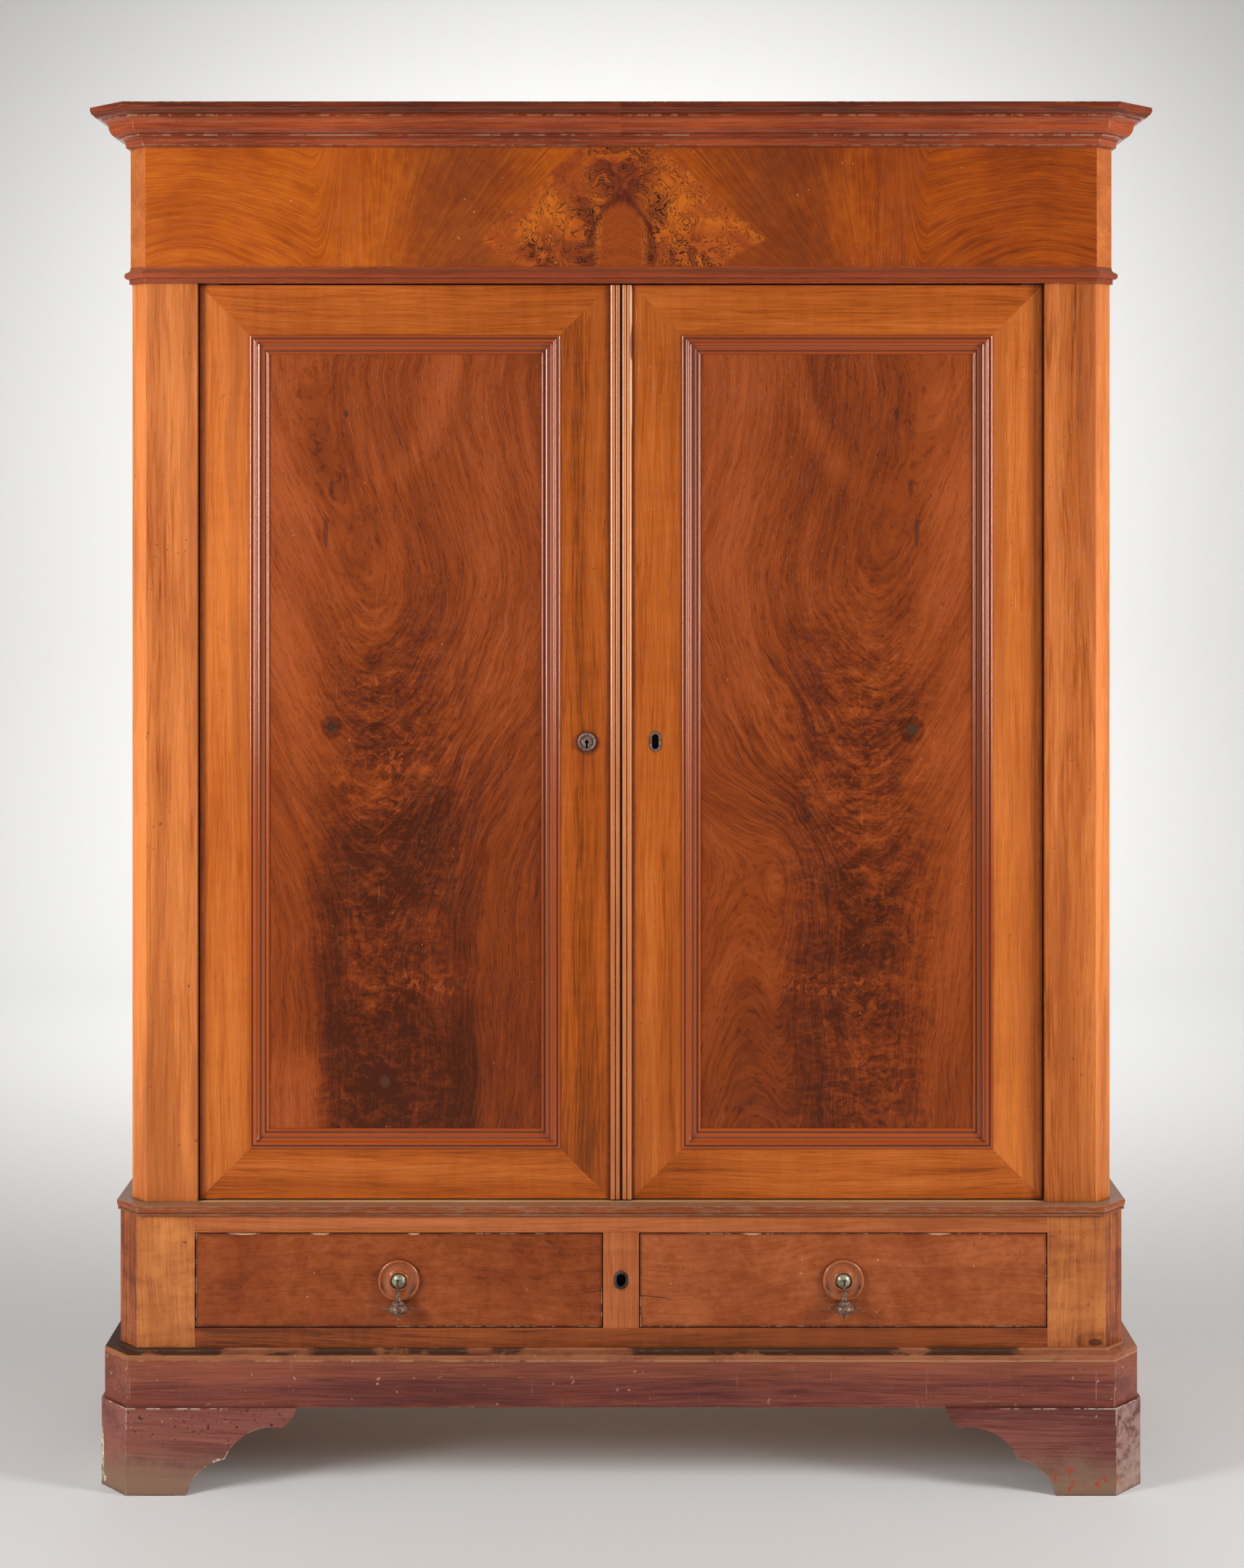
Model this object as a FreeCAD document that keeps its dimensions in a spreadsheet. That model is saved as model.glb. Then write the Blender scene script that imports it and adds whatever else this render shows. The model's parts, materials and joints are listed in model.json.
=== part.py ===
import FreeCAD, Part
import math
import os
import Sketcher

# A two-door wardrobe with slanted front corners, seen from the front along +Y.
# Z is up, X runs to the right, and the origin is under the middle of the whole piece.
# All sizes are in millimetres.

SIZES = {
    # Case
    "body_width": 1430.0,  # across the pilasters
    "body_depth": 545.0,  # pilaster face to the back
    "corner_chamfer": 25.0,  # leg of the slanted corner of a pilaster
    "board": 22.0,  # side frames and base sides
    "fit": 0.5,  # slack of a loose joint between wooden pieces
    # Feet
    "foot_height": 125.5,
    "foot_step": 40.5,  # how far the feet stand out from the pilasters
    "foot_board": 24.0,
    "foot_pad": 86.0,  # flat that stands on the floor, from the slanted corner
    "foot_low_run": 56.0,  # pad to the low cusp, along and up
    "foot_low_rise": 52.5,
    "foot_high_run": 83.0,  # low cusp to the high cusp
    "foot_high_rise": 45.0,
    "foot_tip_run": 20.0,  # high cusp to the tip
    "glue_block": 50.0,
    "rear_brace_width": 110.0,
    # Plinth
    "plinth_height": 75.0,
    "plinth_step": 36.0,
    "plinth_seat": 4.0,  # how far the plinth reaches under the drawer section
    "plinth_round": 2.5,
    "bead": 4.0,  # quarter round at the foot of the drawer section
    # Drawer section
    "base_step": 15.0,
    "base_chamfer": 29.0,  # leg of its slanted corner
    "base_post_width": 113.0,
    "base_post_depth": 45.0,
    "rail_depth": 28.0,
    "bottom_rail_height": 32.0,
    "drawer_opening_height": 138.0,
    "top_rail_height": 25.0,
    "muntin_width": 52.0,
    "muntin_depth": 26.0,
    "base_back_board": 16.0,
    "dust_board": 12.0,
    "runner_height": 14.5,
    "runner_seat": 22.0,  # runner showing beside a guide, under a drawer's side
    "guide_height": 30.0,
    "outer_guide_width": 30.0,
    "guide_gap": 1.0,
    # Waist moulding and deck
    "waist_height": 14.5,
    "waist_reach": 21.0,
    # Pilasters and sides
    "pilaster_width": 99.0,
    "opening_height": 1335.0,
    "pilaster_depth": 45.0,
    "side_stile_width": 70.0,
    "side_low_rail": 95.0,
    "side_top_rail": 80.0,
    "side_panel_board": 12.0,
    "side_rebate": 10.0,
    "back_board": 14.0,
    "back_gap": 0.6,
    # Frieze, its moulding and the cornice
    "frieze_step": 2.5,
    "frieze_board": 30.0,
    "frieze_back_board": 22.0,
    "frieze_height": 173.0,
    "band_height": 24.0,
    "band_reach": 9.4,
    "cornice_height": 58.0,
    "cornice_reach": 54.6,
    "roof_board": 15.0,
    "roof_drop": 63.0,  # top of the cornice to the top of the roof board
    # Fittings of the hanging room
    "stop_thickness": 19.5,
    "stop_lip": 12.0,
    "stop_relief": 13.0,  # pivot to the ends of the stops, clear of the turning edge
    "stop_batten": 20.0,
    "low_stop_height": 14.0,
    "shelf_board": 18.0,
    "shelf_drop": 350.0,  # top of the cornice to the top of the shelf
    "shelf_setback": 64.0,
    "shelf_batten_width": 20.0,
    "shelf_batten_height": 28.0,
    "pole_radius": 16.0,
    "pole_drop": 80.0,  # underside of the shelf to the middle of the pole
    "pole_slack": 0.2,
    "socket_radius": 30.0,
    "socket_length": 20.0,
    "socket_bore": 15.0,
    # Doors
    "door_recess": 11.0,
    "door_thickness": 27.0,
    "door_side_gap": 2.0,
    "door_end_gap": 2.0,
    "meeting_gap": 2.0,
    "door_member": 72.5,
    "door_panel_board": 9.0,
    "door_panel_depth": 9.0,  # face of the frame to the face of the panel
    "door_groove": 9.0,
    "panel_slack": 1.5,
    "panel_moulding_width": 28.0,
    "panel_moulding_rise": 4.5,
    "astragal_width": 15.0,
    "astragal_rise": 5.0,
    # Pivot hinges
    "pivot_inset": 11.0,  # outer edge of a door to the pivot
    "pivot_depth": 6.0,  # face of a door to the pivot
    "pivot_pin_radius": 2.5,
    "pivot_running": 0.05,
    "pivot_pin_length": 18.0,
    "pivot_bush_radius": 4.2,
    "pivot_bush_length": 22.0,
    "pivot_plate_length": 32.0,
    "pivot_plate_width": 11.0,
    # Door locks
    "key_rise": 666.0,  # underside of the doors to the keyholes
    "key_inset": 50.0,  # middle of the wardrobe to a keyhole of the doors
    "lock_depth": 14.0,
    "lock_height": 96.0,
    "lock_length": 62.0,
    "lock_edge": 4.0,
    "bolt_length": 46.0,
    "bolt_height": 18.0,
    "bolt_thickness": 7.0,
    "bolt_wall": 3.5,
    "bolt_rise": 22.0,
    "bolt_slack": 0.4,
    "keeper_inset": 3.0,
    "keeper_width": 13.0,
    "keeper_wall": 4.0,
    "espagnolette_length": 46.0,
    "espagnolette_edge": 20.0,
    "rod_radius": 4.0,
    "rod_inset": 42.0,
    "rod_wall": 1.75,  # metal behind the rods in the lock and the guides
    "rod_slack": 0.25,
    "rod_gap": 1.5,
    "rod_sunk": 14.0,
    "rod_guide_width": 18.0,
    "rod_guide_length": 12.0,
    "rod_guide_inset": 60.0,
    "notch_slack": 1.0,
    # Keyholes and escutcheons
    "door_key_width": 9.8,
    "door_key_height": 22.0,
    "door_key_rim": 3.2,
    "key_rim_rise": 0.8,
    "muntin_key_width": 13.0,
    "muntin_key_height": 19.0,
    "muntin_key_rim": 3.2,
    "rose_radius": 13.2,
    "rose_rise": 5.0,
    "pin_key_radius": 2.9,
    "pin_key_bore": 5.8,
    "pin_key_drop": 9.5,
    "pin_key_slot": 3.2,
    # Drawers
    "drawer_gap": 1.5,
    "drawer_setback": 0.8,
    "drawer_front_board": 22.0,
    "drawer_side_board": 12.0,
    "drawer_side_inset": 10.0,
    "drawer_side_height": 110.0,
    "drawer_rear_gap": 52.0,
    "drawer_bottom_board": 8.0,
    "drawer_bottom_rise": 8.0,
    "drawer_bottom_groove": 5.0,
    # Drawer lock behind the muntin
    "drawer_lock_height": 50.0,
    "drawer_lock_width": 44.0,
    "drawer_lock_depth": 14.0,
    "drawer_bolt_height": 14.0,
    "drawer_bolt_thickness": 6.0,
    "drawer_bolt_gap": 6.0,
    "drawer_bolt_wall": 3.5,
    # Drop pulls
    "rosette_radius": 30.0,
    "rosette_rise": 6.5,
    "knob_radius": 10.0,
    "knob_edge": 1.5,  # upright edge of the domed knob
    "knob_dome": 5.0,
    "fork_radius": 4.0,
    "fork_wall": 1.6,  # cheeks of the fork, beside the eye
    "eye_radius": 3.4,
    "eye_thickness": 3.0,
    "eye_slack": 0.4,
    "eye_pin_radius": 1.3,
    "eye_running": 0.05,
    "stem_radius": 3.6,
    "drop_gap": 12.0,  # pivot to the top of the turned drop
    "drop_length": 31.5,
    "drop_radius": 14.6,
    "drop_clearance": 2.2,  # drawer face to the back of the drop
    "drop_neck_radius": 3.4,
    "collar_height": 2.0,
    "crossbar_radius": 1.9,
    "crossbar_reach": 23.5,
    "finial_length": 10.5,
    "finial_radius": 2.4,
}

BACK_BOARDS = 6

# Arcs are given by their bulge, the tangent of a quarter of their angle.
QUARTER_ROUND_SHARE = math.tan(math.pi / 8)
HALF_ROUND_SHARE = 1.0
FOOT_BULGE_SHARES = (0.30, 0.35, -0.17)

# How much the leg of the slanted corner grows when the outline steps out by one.
CHAMFER_GROWTH_SHARE = 2 - math.sqrt(2)
# Mitres of the slanted corners, of a door frame, and of a square end.
SLANT_MITRE_SHARE = math.tan(math.pi / 8)
FRAME_MITRE_SHARE = 1.0
SQUARE_SHARE = 0.0
DIAGONAL_SHARE = math.sqrt(0.5)

# Profiles: across and up as shares of a moulding's reach and height, with the bulge
# of the arc that leads to each point.
CORNICE_SHARES = (
    (0.00, 0.00, 0.00),
    (0.09, 0.02, 0.00),
    (0.12, 0.05, 0.00),
    (0.13, 0.17, 0.00),
    (0.29, 0.25, -0.30),
    (0.30, 0.29, 0.00),
    (0.42, 0.31, 0.00),
    (0.55, 0.56, 0.22),
    (0.72, 0.69, -0.22),
    (0.72, 0.72, 0.00),
    (0.78, 0.73, 0.00),
    (0.90, 0.79, 0.30),
    (0.91, 0.80, 0.00),
    (1.00, 0.92, 0.25),
    (1.00, 1.00, 0.00),
    (0.00, 1.00, 0.00),
)
BAND_SHARES = (
    (0.00, 0.00, 0.00),
    (0.18, 0.00, 0.00),
    (0.18, 0.29, 0.00),
    (0.40, 0.29, 0.00),
    (0.40, 0.71, 0.95),
    (0.32, 0.74, 0.00),
    (0.05, 1.00, -0.30),
    (0.00, 1.00, 0.00),
)
WAIST_SHARES = (
    (0.00, 0.00, 0.00),
    (0.89, 0.00, 0.00),
    (0.89, 0.19, 0.90),
    (0.86, 0.19, 0.00),
    (0.98, 0.68, 0.22),
    (1.00, 0.68, 0.00),
    (1.00, 0.88, 0.00),
    (0.92, 1.00, 0.41),
    (0.00, 1.00, 0.00),
)
# From the panel outward, and up from the panel, as shares of the width and of the
# height from the panel to the highest bead.
PANEL_MOULDING_SHARES = (
    (0.00, 0.00, 0.00),
    (1.00, 0.00, 0.00),
    (1.00, 0.72, 0.00),
    (0.87, 0.80, 0.45),
    (0.87, 0.74, 0.00),
    (0.82, 0.74, 0.00),
    (0.80, 0.80, 0.00),
    (0.64, 0.86, 0.62),
    (0.47, 0.36, -0.30),
    (0.47, 0.32, 0.00),
    (0.24, 0.22, 0.18),
    (0.22, 0.12, 0.00),
    (0.17, 0.12, 0.00),
    (0.02, 0.08, 0.70),
)
# From the gap between the doors outward, and up from the face of the door.
ASTRAGAL_SHARES = (
    (0.08, 0.74, 0.25),
    (0.40, 0.80, 0.30),
    (0.45, 0.48, 0.20),
    (0.52, 0.48, 0.00),
    (0.57, 0.82, 0.20),
    (0.90, 0.78, 0.30),
    (1.00, 0.10, 0.25),
)
# Radius and height of the turned rosette, as shares of its radius and rise.
ROSETTE_SHARES = (
    (1.00, 0.00, 0.00),
    (1.00, 0.42, 0.00),
    (0.93, 0.86, 0.45),
    (0.88, 0.76, 0.00),
    (0.84, 0.30, -0.15),
    (0.80, 0.28, 0.00),
    (0.50, 0.60, -0.15),
    (0.49, 0.76, 0.00),
    (0.44, 1.00, 0.35),
    (0.39, 0.90, 0.30),
    (0.38, 0.60, 0.00),
)
ROSETTE_SEAT_SHARE = 0.60
# Radius and drop of the turned pendant, as shares of its radius and length.
DROP_SHARES = (
    (0.27, 0.22, 0.00),
    (0.36, 0.38, -0.05),
    (0.58, 0.48, -0.12),
    (0.86, 0.59, 0.08),
    (1.00, 0.73, 0.12),
    (0.97, 0.82, 0.08),
    (0.80, 0.93, 0.12),
    (0.52, 0.99, 0.08),
    (0.40, 1.00, 0.00),
)
CROSSBAR_SHARE = 0.746
STRIP_EDGE_SHARE = 0.5
# Radius and height of the turned escutcheon.
ROSE_SHARES = (
    (1.00, 0.00, 0.00),
    (1.00, 0.62, 0.00),
    (0.86, 0.92, 0.41),
    (0.74, 0.92, 0.00),
    (0.70, 0.72, 0.00),
    (0.62, 0.72, 0.00),
    (0.56, 1.00, 0.00),
)

document = FreeCAD.newDocument("Wardrobe")
sheet = document.addObject("Spreadsheet::Sheet", "Sizes")
for row, (alias, number) in enumerate(SIZES.items(), start=1):
    sheet.set("A%d" % row, alias)
    sheet.set("B%d" % row, str(number))
    sheet.setAlias("B%d" % row, alias)
document.recompute()


class Size:
    """A length, with its number of millimetres and the expression that gives it."""

    def __init__(self, number, text):
        self.number = float(number)
        self.text = text

    def __add__(self, other):
        other = sized(other)
        return Size(self.number + other.number, "(%s + %s)" % (self.text, other.text))

    def __sub__(self, other):
        other = sized(other)
        return Size(self.number - other.number, "(%s - %s)" % (self.text, other.text))

    def __mul__(self, other):
        other = sized(other)
        return Size(self.number * other.number, "(%s * %s)" % (self.text, other.text))

    def __truediv__(self, other):
        other = sized(other)
        return Size(self.number / other.number, "(%s / %s)" % (self.text, other.text))

    def __neg__(self):
        return Size(-self.number, "(-1 * %s)" % self.text)

    __radd__ = __add__
    __rmul__ = __mul__

    def __rsub__(self, other):
        return sized(other) - self


def sized(value):
    """A plain number, such as a share or a count, as a size."""
    if isinstance(value, Size):
        return value
    return Size(value, "%.12g" % value)


def cell(alias):
    """The size that a cell of the sheet holds."""
    return Size(getattr(sheet, alias), "Sizes." + alias)


ZERO = sized(0)
dim = {alias: cell(alias) for alias in SIZES}

RIGHT = FreeCAD.Vector(1, 0, 0)
LEFT = FreeCAD.Vector(-1, 0, 0)
REAR = FreeCAD.Vector(0, 1, 0)
FRONT = FreeCAD.Vector(0, -1, 0)
UP = FreeCAD.Vector(0, 0, 1)
DOWN = FreeCAD.Vector(0, 0, -1)

# Levels
foot_top = dim["foot_height"]
plinth_top = foot_top + dim["plinth_height"]
drawer_floor = plinth_top + dim["bottom_rail_height"]
drawer_ceiling = drawer_floor + dim["drawer_opening_height"]
drawer_middle = drawer_floor + dim["drawer_opening_height"] / 2
base_top = drawer_ceiling + dim["top_rail_height"]
deck_top = base_top + dim["waist_height"]
head_level = deck_top + dim["opening_height"]
band_top = head_level + dim["band_height"]
frieze_top = band_top + dim["frieze_height"]
top_level = frieze_top + dim["cornice_height"]

# Front and back, with the origin under the middle of the depth from cornice to back
front_reach = dim["frieze_step"] + dim["cornice_reach"]
case_back = (dim["body_depth"] + front_reach) / 2
case_front = case_back - dim["body_depth"]
half_body = dim["body_width"] / 2
half_opening = half_body - dim["pilaster_width"]
half_base_opening = half_body + dim["base_step"] - dim["base_post_width"]

nodes = {}


def keep(label, piece):
    """Names a finished sub-part, which is written to a file of that name."""
    piece.Label = label
    nodes[label] = piece
    return piece


def bind(piece, **sizes):
    """Sets properties and ties them to the sheet."""
    for name, value in sizes.items():
        value = sized(value)
        setattr(piece, name, value.number)
        piece.setExpression(name, value.text)


def place(piece, corner, rotation=None):
    """Puts a piece at a corner given by three sizes."""
    numbers = [sized(value).number for value in corner]
    rotation = rotation or FreeCAD.Rotation()
    piece.Placement = FreeCAD.Placement(FreeCAD.Vector(*numbers), rotation)
    for axis, value in zip("xyz", corner):
        piece.setExpression("Placement.Base." + axis, sized(value).text)


def turned(across, up):
    """The rotation that takes x to across and y to up."""
    return FreeCAD.Rotation(across, up, across.cross(up), "XYZ")


def box(name, x, y, z):
    """A board between the given pairs of sizes."""
    piece = document.addObject("Part::Box", name)
    bind(piece, Length=x[1] - x[0], Width=y[1] - y[0], Height=z[1] - z[0])
    place(piece, (x[0], y[0], z[0]))
    return piece


def rod(name, radius, length, start, along):
    """A round bar from a point, in a direction."""
    piece = document.addObject("Part::Cylinder", name)
    bind(piece, Radius=radius, Height=length)
    place(piece, start, FreeCAD.Rotation(UP, along))
    return piece


def cut(name, base, tool):
    piece = document.addObject("Part::Cut", name)
    piece.Base = base
    piece.Tool = tool
    return piece


def fuse(name, base, tool):
    piece = document.addObject("Part::Fuse", name)
    piece.Base = base
    piece.Tool = tool
    return piece


def group(name, pieces):
    """Separate solids that share a node."""
    piece = document.addObject("Part::Compound", name)
    piece.Links = pieces
    return piece


def sides(side, near, far):
    """A pair of sizes across the middle plane, on the given side of it."""
    if side > 0:
        return near, far
    return -far, -near


def plane(body, role):
    """One of the body's own origin planes or axes."""
    for feature in body.Origin.OriginFeatures:
        if feature.Role == role:
            return feature
    raise ValueError(role)


def arc_middle(start, end, bulge):
    """The point halfway along the arc with the given bulge."""
    middle = (start + end) * 0.5
    chord = end - start
    return middle + FreeCAD.Vector(chord.y, -chord.x, 0) * (bulge * 0.5)


def draw(body, role, points):
    """A closed outline of lines and arcs on an origin plane, tied to the sheet.

    Each point is (across, up) or (across, up, bulge of the arc that leads to it).
    """
    sketch = body.newObject("Sketcher::SketchObject", "Outline")
    sketch.AttachmentSupport = [(plane(body, role), "")]
    sketch.MapMode = "FlatFace"
    corners = [(sized(point[0]), sized(point[1])) for point in points]
    places = [FreeCAD.Vector(across.number, up.number, 0) for across, up in corners]
    bulges = [point[2] if len(point) > 2 else 0.0 for point in points]
    count = len(corners)
    edges = []
    for index in range(count):
        after = (index + 1) % count
        if bulges[after]:
            middle = arc_middle(places[index], places[after], bulges[after])
            edges.append(Part.Arc(places[index], middle, places[after]))
        else:
            edges.append(Part.LineSegment(places[index], places[after]))
    sketch.addGeometry(edges, False)

    # An arc runs anticlockwise, so one that bends the other way starts at its far end.
    first = [1 if bulges[(i + 1) % count] >= 0 else 2 for i in range(count)]
    rules = []
    texts = []

    def hold(index, point, value, kind, axis):
        """Fixes a point's distance from one of the sketch's axes."""
        if abs(value.number) < 1e-9:
            rules.append(Sketcher.Constraint("PointOnObject", index, point, axis))
            texts.append(None)
        else:
            rules.append(Sketcher.Constraint(kind, -1, 1, index, point, value.number))
            texts.append(value.text)

    for index in range(count):
        after = (index + 1) % count
        rules.append(Sketcher.Constraint("Coincident", index, 3 - first[index], after, first[after]))
        texts.append(None)
    for index, (across, up) in enumerate(corners):
        hold(index, first[index], across, "DistanceX", -2)
        hold(index, first[index], up, "DistanceY", -1)
    for index in range(count):
        after = (index + 1) % count
        bulge = bulges[after]
        if not bulge:
            continue
        run_x = corners[after][0] - corners[index][0]
        run_y = corners[after][1] - corners[index][1]
        shift = (1 - bulge * bulge) / (4 * bulge)
        if abs(run_x.number) > abs(run_y.number):
            middle = (corners[after][1] + corners[index][1]) / 2
            hold(index, 3, middle + run_x * shift, "DistanceY", -1)
        else:
            middle = (corners[after][0] + corners[index][0]) / 2
            hold(index, 3, middle - run_y * shift, "DistanceX", -2)
    sketch.addConstraint(rules)
    for number, text in enumerate(texts):
        if text:
            sketch.setExpression("Constraints[%d]" % number, text)
    return sketch


def pad(body, sketch, length):
    feature = body.newObject("PartDesign::Pad", "Length")
    feature.Profile = sketch
    bind(feature, Length=length)
    return feature


def pocket(body, sketch):
    """Cuts an outline right through the body, both ways."""
    feature = body.newObject("PartDesign::Pocket", "Opening")
    feature.Profile = sketch
    feature.Type = "ThroughAll"
    feature.SideType = "Symmetric"
    return feature


def revolve(body, sketch):
    """Turns an outline all the way round the body's own Y axis."""
    feature = body.newObject("PartDesign::Revolution", "Turning")
    feature.Profile = sketch
    feature.ReferenceAxis = (plane(body, "Y_Axis"), [""])
    feature.Angle = 360.0
    return feature


def cut_mitre(body, reach, level, slope, along):
    """Saws an end off, from level at the inner face outward by slope.

    The waste lies below the line when along is -1, and above it when along is 1.
    """
    spare = reach
    inner = -spare
    outer = reach + spare
    inner_level = level - along * slope * (reach + spare)
    outer_level = level + along * slope * spare
    waste_level = level + along * (reach + spare + spare)
    points = [
        (inner, inner_level),
        (outer, outer_level),
        (outer, waste_level),
        (inner, waste_level),
    ]
    pocket(body, draw(body, "XZ_Plane", points))


def run(name, profile, reach, length, start, outward, up, start_mitre, end_mitre):
    """A length of a profile whose inner face is as long as given, mitred at its ends.

    The profile's x points outward and its y up, and the piece runs along their cross
    product from start, which is the start of the inner face.
    """
    along = outward.cross(up)
    lead = reach * start_mitre
    whole = length + reach * (start_mitre + end_mitre)
    body = document.addObject("PartDesign::Body", name)
    pad(body, draw(body, "XY_Plane", profile), whole)
    if start_mitre:
        cut_mitre(body, reach, ZERO, start_mitre, -1)
    if end_mitre:
        cut_mitre(body, reach, whole, end_mitre, 1)
    corner = [sized(value) for value in start]
    for index, share in enumerate(along):
        if start_mitre and abs(share) > 1e-9:
            corner[index] = corner[index] - lead * round(share, 12)
    place(body, corner, turned(outward, up))
    return body


def outline(step, base=False):
    """Half the width, the front and the corner leg of the outline at a step outward.

    The parts below the waist have slanted corners of their own.
    """
    half = half_body + step
    front = case_front - step
    if base:
        leg = dim["base_chamfer"] + (step - dim["base_step"]) * CHAMFER_GROWTH_SHARE
    else:
        leg = dim["corner_chamfer"] + step * CHAMFER_GROWTH_SHARE
    return half, front, leg


def scaled(shares, reach, height):
    """A profile from its shares of a reach and a height."""
    return [(reach * across, height * up, bulge) for across, up, bulge in shares]


def slanted(side):
    """The outward direction of the slanted corner on the given side."""
    return FreeCAD.Vector(side * DIAGONAL_SHARE, -DIAGONAL_SHARE, 0)


def wrapped(name, profile, step, reach, level, back, base=False):
    """Five mitred lengths round the front: two sides, two slanted corners and the front.

    The profile's inner face follows the outline at the given step.
    """
    half, front, leg = outline(step, base)
    side_length = back - front - leg
    slant = leg * math.sqrt(2)
    slope = SLANT_MITRE_SHARE
    pieces = [
        run(name + "_front", profile, reach, (half - leg) * 2, (half - leg, front, level),
            FRONT, UP, slope, slope),
        run(name + "_corner_right", profile, reach, slant, (half, front + leg, level),
            slanted(1), UP, slope, slope),
        run(name + "_corner_left", profile, reach, slant, (leg - half, front, level),
            slanted(-1), UP, slope, slope),
        run(name + "_side_right", profile, reach, side_length, (half, back, level),
            RIGHT, UP, SQUARE_SHARE, slope),
        run(name + "_side_left", profile, reach, side_length, (-half, front + leg, level),
            LEFT, UP, slope, SQUARE_SHARE),
    ]
    return pieces


def rectangle(width, height):
    return [(ZERO, ZERO), (width, ZERO), (width, height), (ZERO, height)]


def stadium(width, height):
    """A slot with round ends, centred on the sketch's origin."""
    half = width / 2
    straight = (height - width) / 2
    return [
        (-half, -straight),
        (half, -straight, HALF_ROUND_SHARE),
        (half, straight),
        (-half, straight, HALF_ROUND_SHARE),
    ]


def punch(name, points, depth, center):
    """A bar of the given section that runs to the rear from a point, to pierce a board."""
    body = document.addObject("PartDesign::Body", name)
    pad(body, draw(body, "XY_Plane", points), depth)
    place(body, center, turned(LEFT, UP))
    return body


# Bracket feet

foot_length = dim["foot_pad"] + dim["foot_low_run"] + dim["foot_high_run"] + dim["foot_tip_run"]


def bracket(name, corner_first, start, outward):
    """A scalloped board, its curved lower edge falling to the pad at the corner."""
    low = (dim["foot_low_rise"], dim["foot_pad"] + dim["foot_low_run"])
    high = (low[0] + dim["foot_high_rise"], low[1] + dim["foot_high_run"])
    tip = (foot_top, foot_length)
    bulges = FOOT_BULGE_SHARES
    points = [(ZERO, ZERO), (ZERO, dim["foot_pad"])]
    points.append((low[0], low[1], bulges[0]))
    points.append((high[0], high[1], bulges[1]))
    points.append((tip[0], tip[1], bulges[2]))
    points.append((foot_top, ZERO))
    if not corner_first:
        points = [(p[0], foot_length - p[1], *[-b for b in p[2:]]) for p in points]
    body = document.addObject("PartDesign::Body", name)
    pad(body, draw(body, "YZ_Plane", points), dim["foot_board"])
    place(body, start, turned(outward, UP))
    return body


def front_foot(side, word):
    """Two scalloped brackets, the slanted corner piece and the glue block behind."""
    half, front, leg = outline(dim["foot_step"], True)
    board = dim["foot_board"]
    tip = foot_length
    slope = SLANT_MITRE_SHARE
    if side > 0:
        front_start = (half - leg, front + board, ZERO)
        side_start = (half - board, front + leg + tip, ZERO)
        outward = RIGHT
    else:
        front_start = (leg - half + tip, front + board, ZERO)
        side_start = (board - half, front + leg, ZERO)
        outward = LEFT
    face = bracket("foot_face_" + word, side > 0, front_start, FRONT)
    cheek = bracket("foot_cheek_" + word, side < 0, side_start, outward)
    for piece, first in ((face, side > 0), (cheek, side < 0)):
        if first:
            cut_mitre(piece, board, ZERO, slope, -1)
        else:
            cut_mitre(piece, board, tip, slope, 1)
    inner_half, inner_front, inner_leg = outline(dim["foot_step"] - board, True)
    slant = inner_leg * math.sqrt(2)
    if side > 0:
        slant_start = (inner_half, inner_front + inner_leg, ZERO)
    else:
        slant_start = (inner_leg - inner_half, inner_front, ZERO)
    corner = run("foot_corner_" + word, rectangle(board, foot_top), board, slant,
                 slant_start, slanted(side), UP, slope, slope)
    block = dim["glue_block"]
    plan = [
        (inner_half - inner_leg, inner_front),
        (inner_half, inner_front + inner_leg),
        (inner_half, inner_front + inner_leg + block),
        (inner_half - inner_leg - block, inner_front + inner_leg + block),
        (inner_half - inner_leg - block, inner_front),
    ]
    support = post("foot_block_" + word, side, plan, ZERO, foot_top)
    return keep("front_foot_" + word, group("front_foot", [face, corner, cheek, support]))


def post(name, side, plan, bottom, top):
    """An upright with the given plan on the right, or its mirror image on the left."""
    points = []
    for point in plan:
        bulge = point[2] if len(point) > 2 else 0.0
        across = point[0] if side > 0 else -point[0]
        points.append((across, point[1], bulge * side))
    if side < 0:
        points = mirrored_order(points)
    body = document.addObject("PartDesign::Body", name)
    pad(body, draw(body, "XY_Plane", points), top - bottom)
    place(body, (ZERO, ZERO, bottom))
    return body


def mirrored_order(points):
    """The same outline run the other way round, each bulge kept with its own edge."""
    count = len(points)
    order = []
    for index in range(count - 1, -1, -1):
        after = (index + 1) % count
        order.append((points[index][0], points[index][1], -points[after][2]))
    return order


def rear_feet():
    """A scalloped side bracket and a cross board at each back corner."""
    half = half_body + dim["foot_step"]
    board = dim["foot_board"]
    tip = foot_length
    brace = dim["rear_brace_width"]
    pieces = [
        bracket("rear_cheek_right", True, (half - board, case_back, ZERO), RIGHT),
        bracket("rear_cheek_left", False, (board - half, case_back - tip, ZERO), LEFT),
    ]
    for side, word in ((1, "right"), (-1, "left")):
        across = sides(side, half - board - brace, half - board)
        pieces.append(box("rear_brace_" + word, across, (case_back - board, case_back), (ZERO, foot_top)))
    return keep("rear_feet", group("rear_feet", pieces))


# Plinth and drawer section

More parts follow.
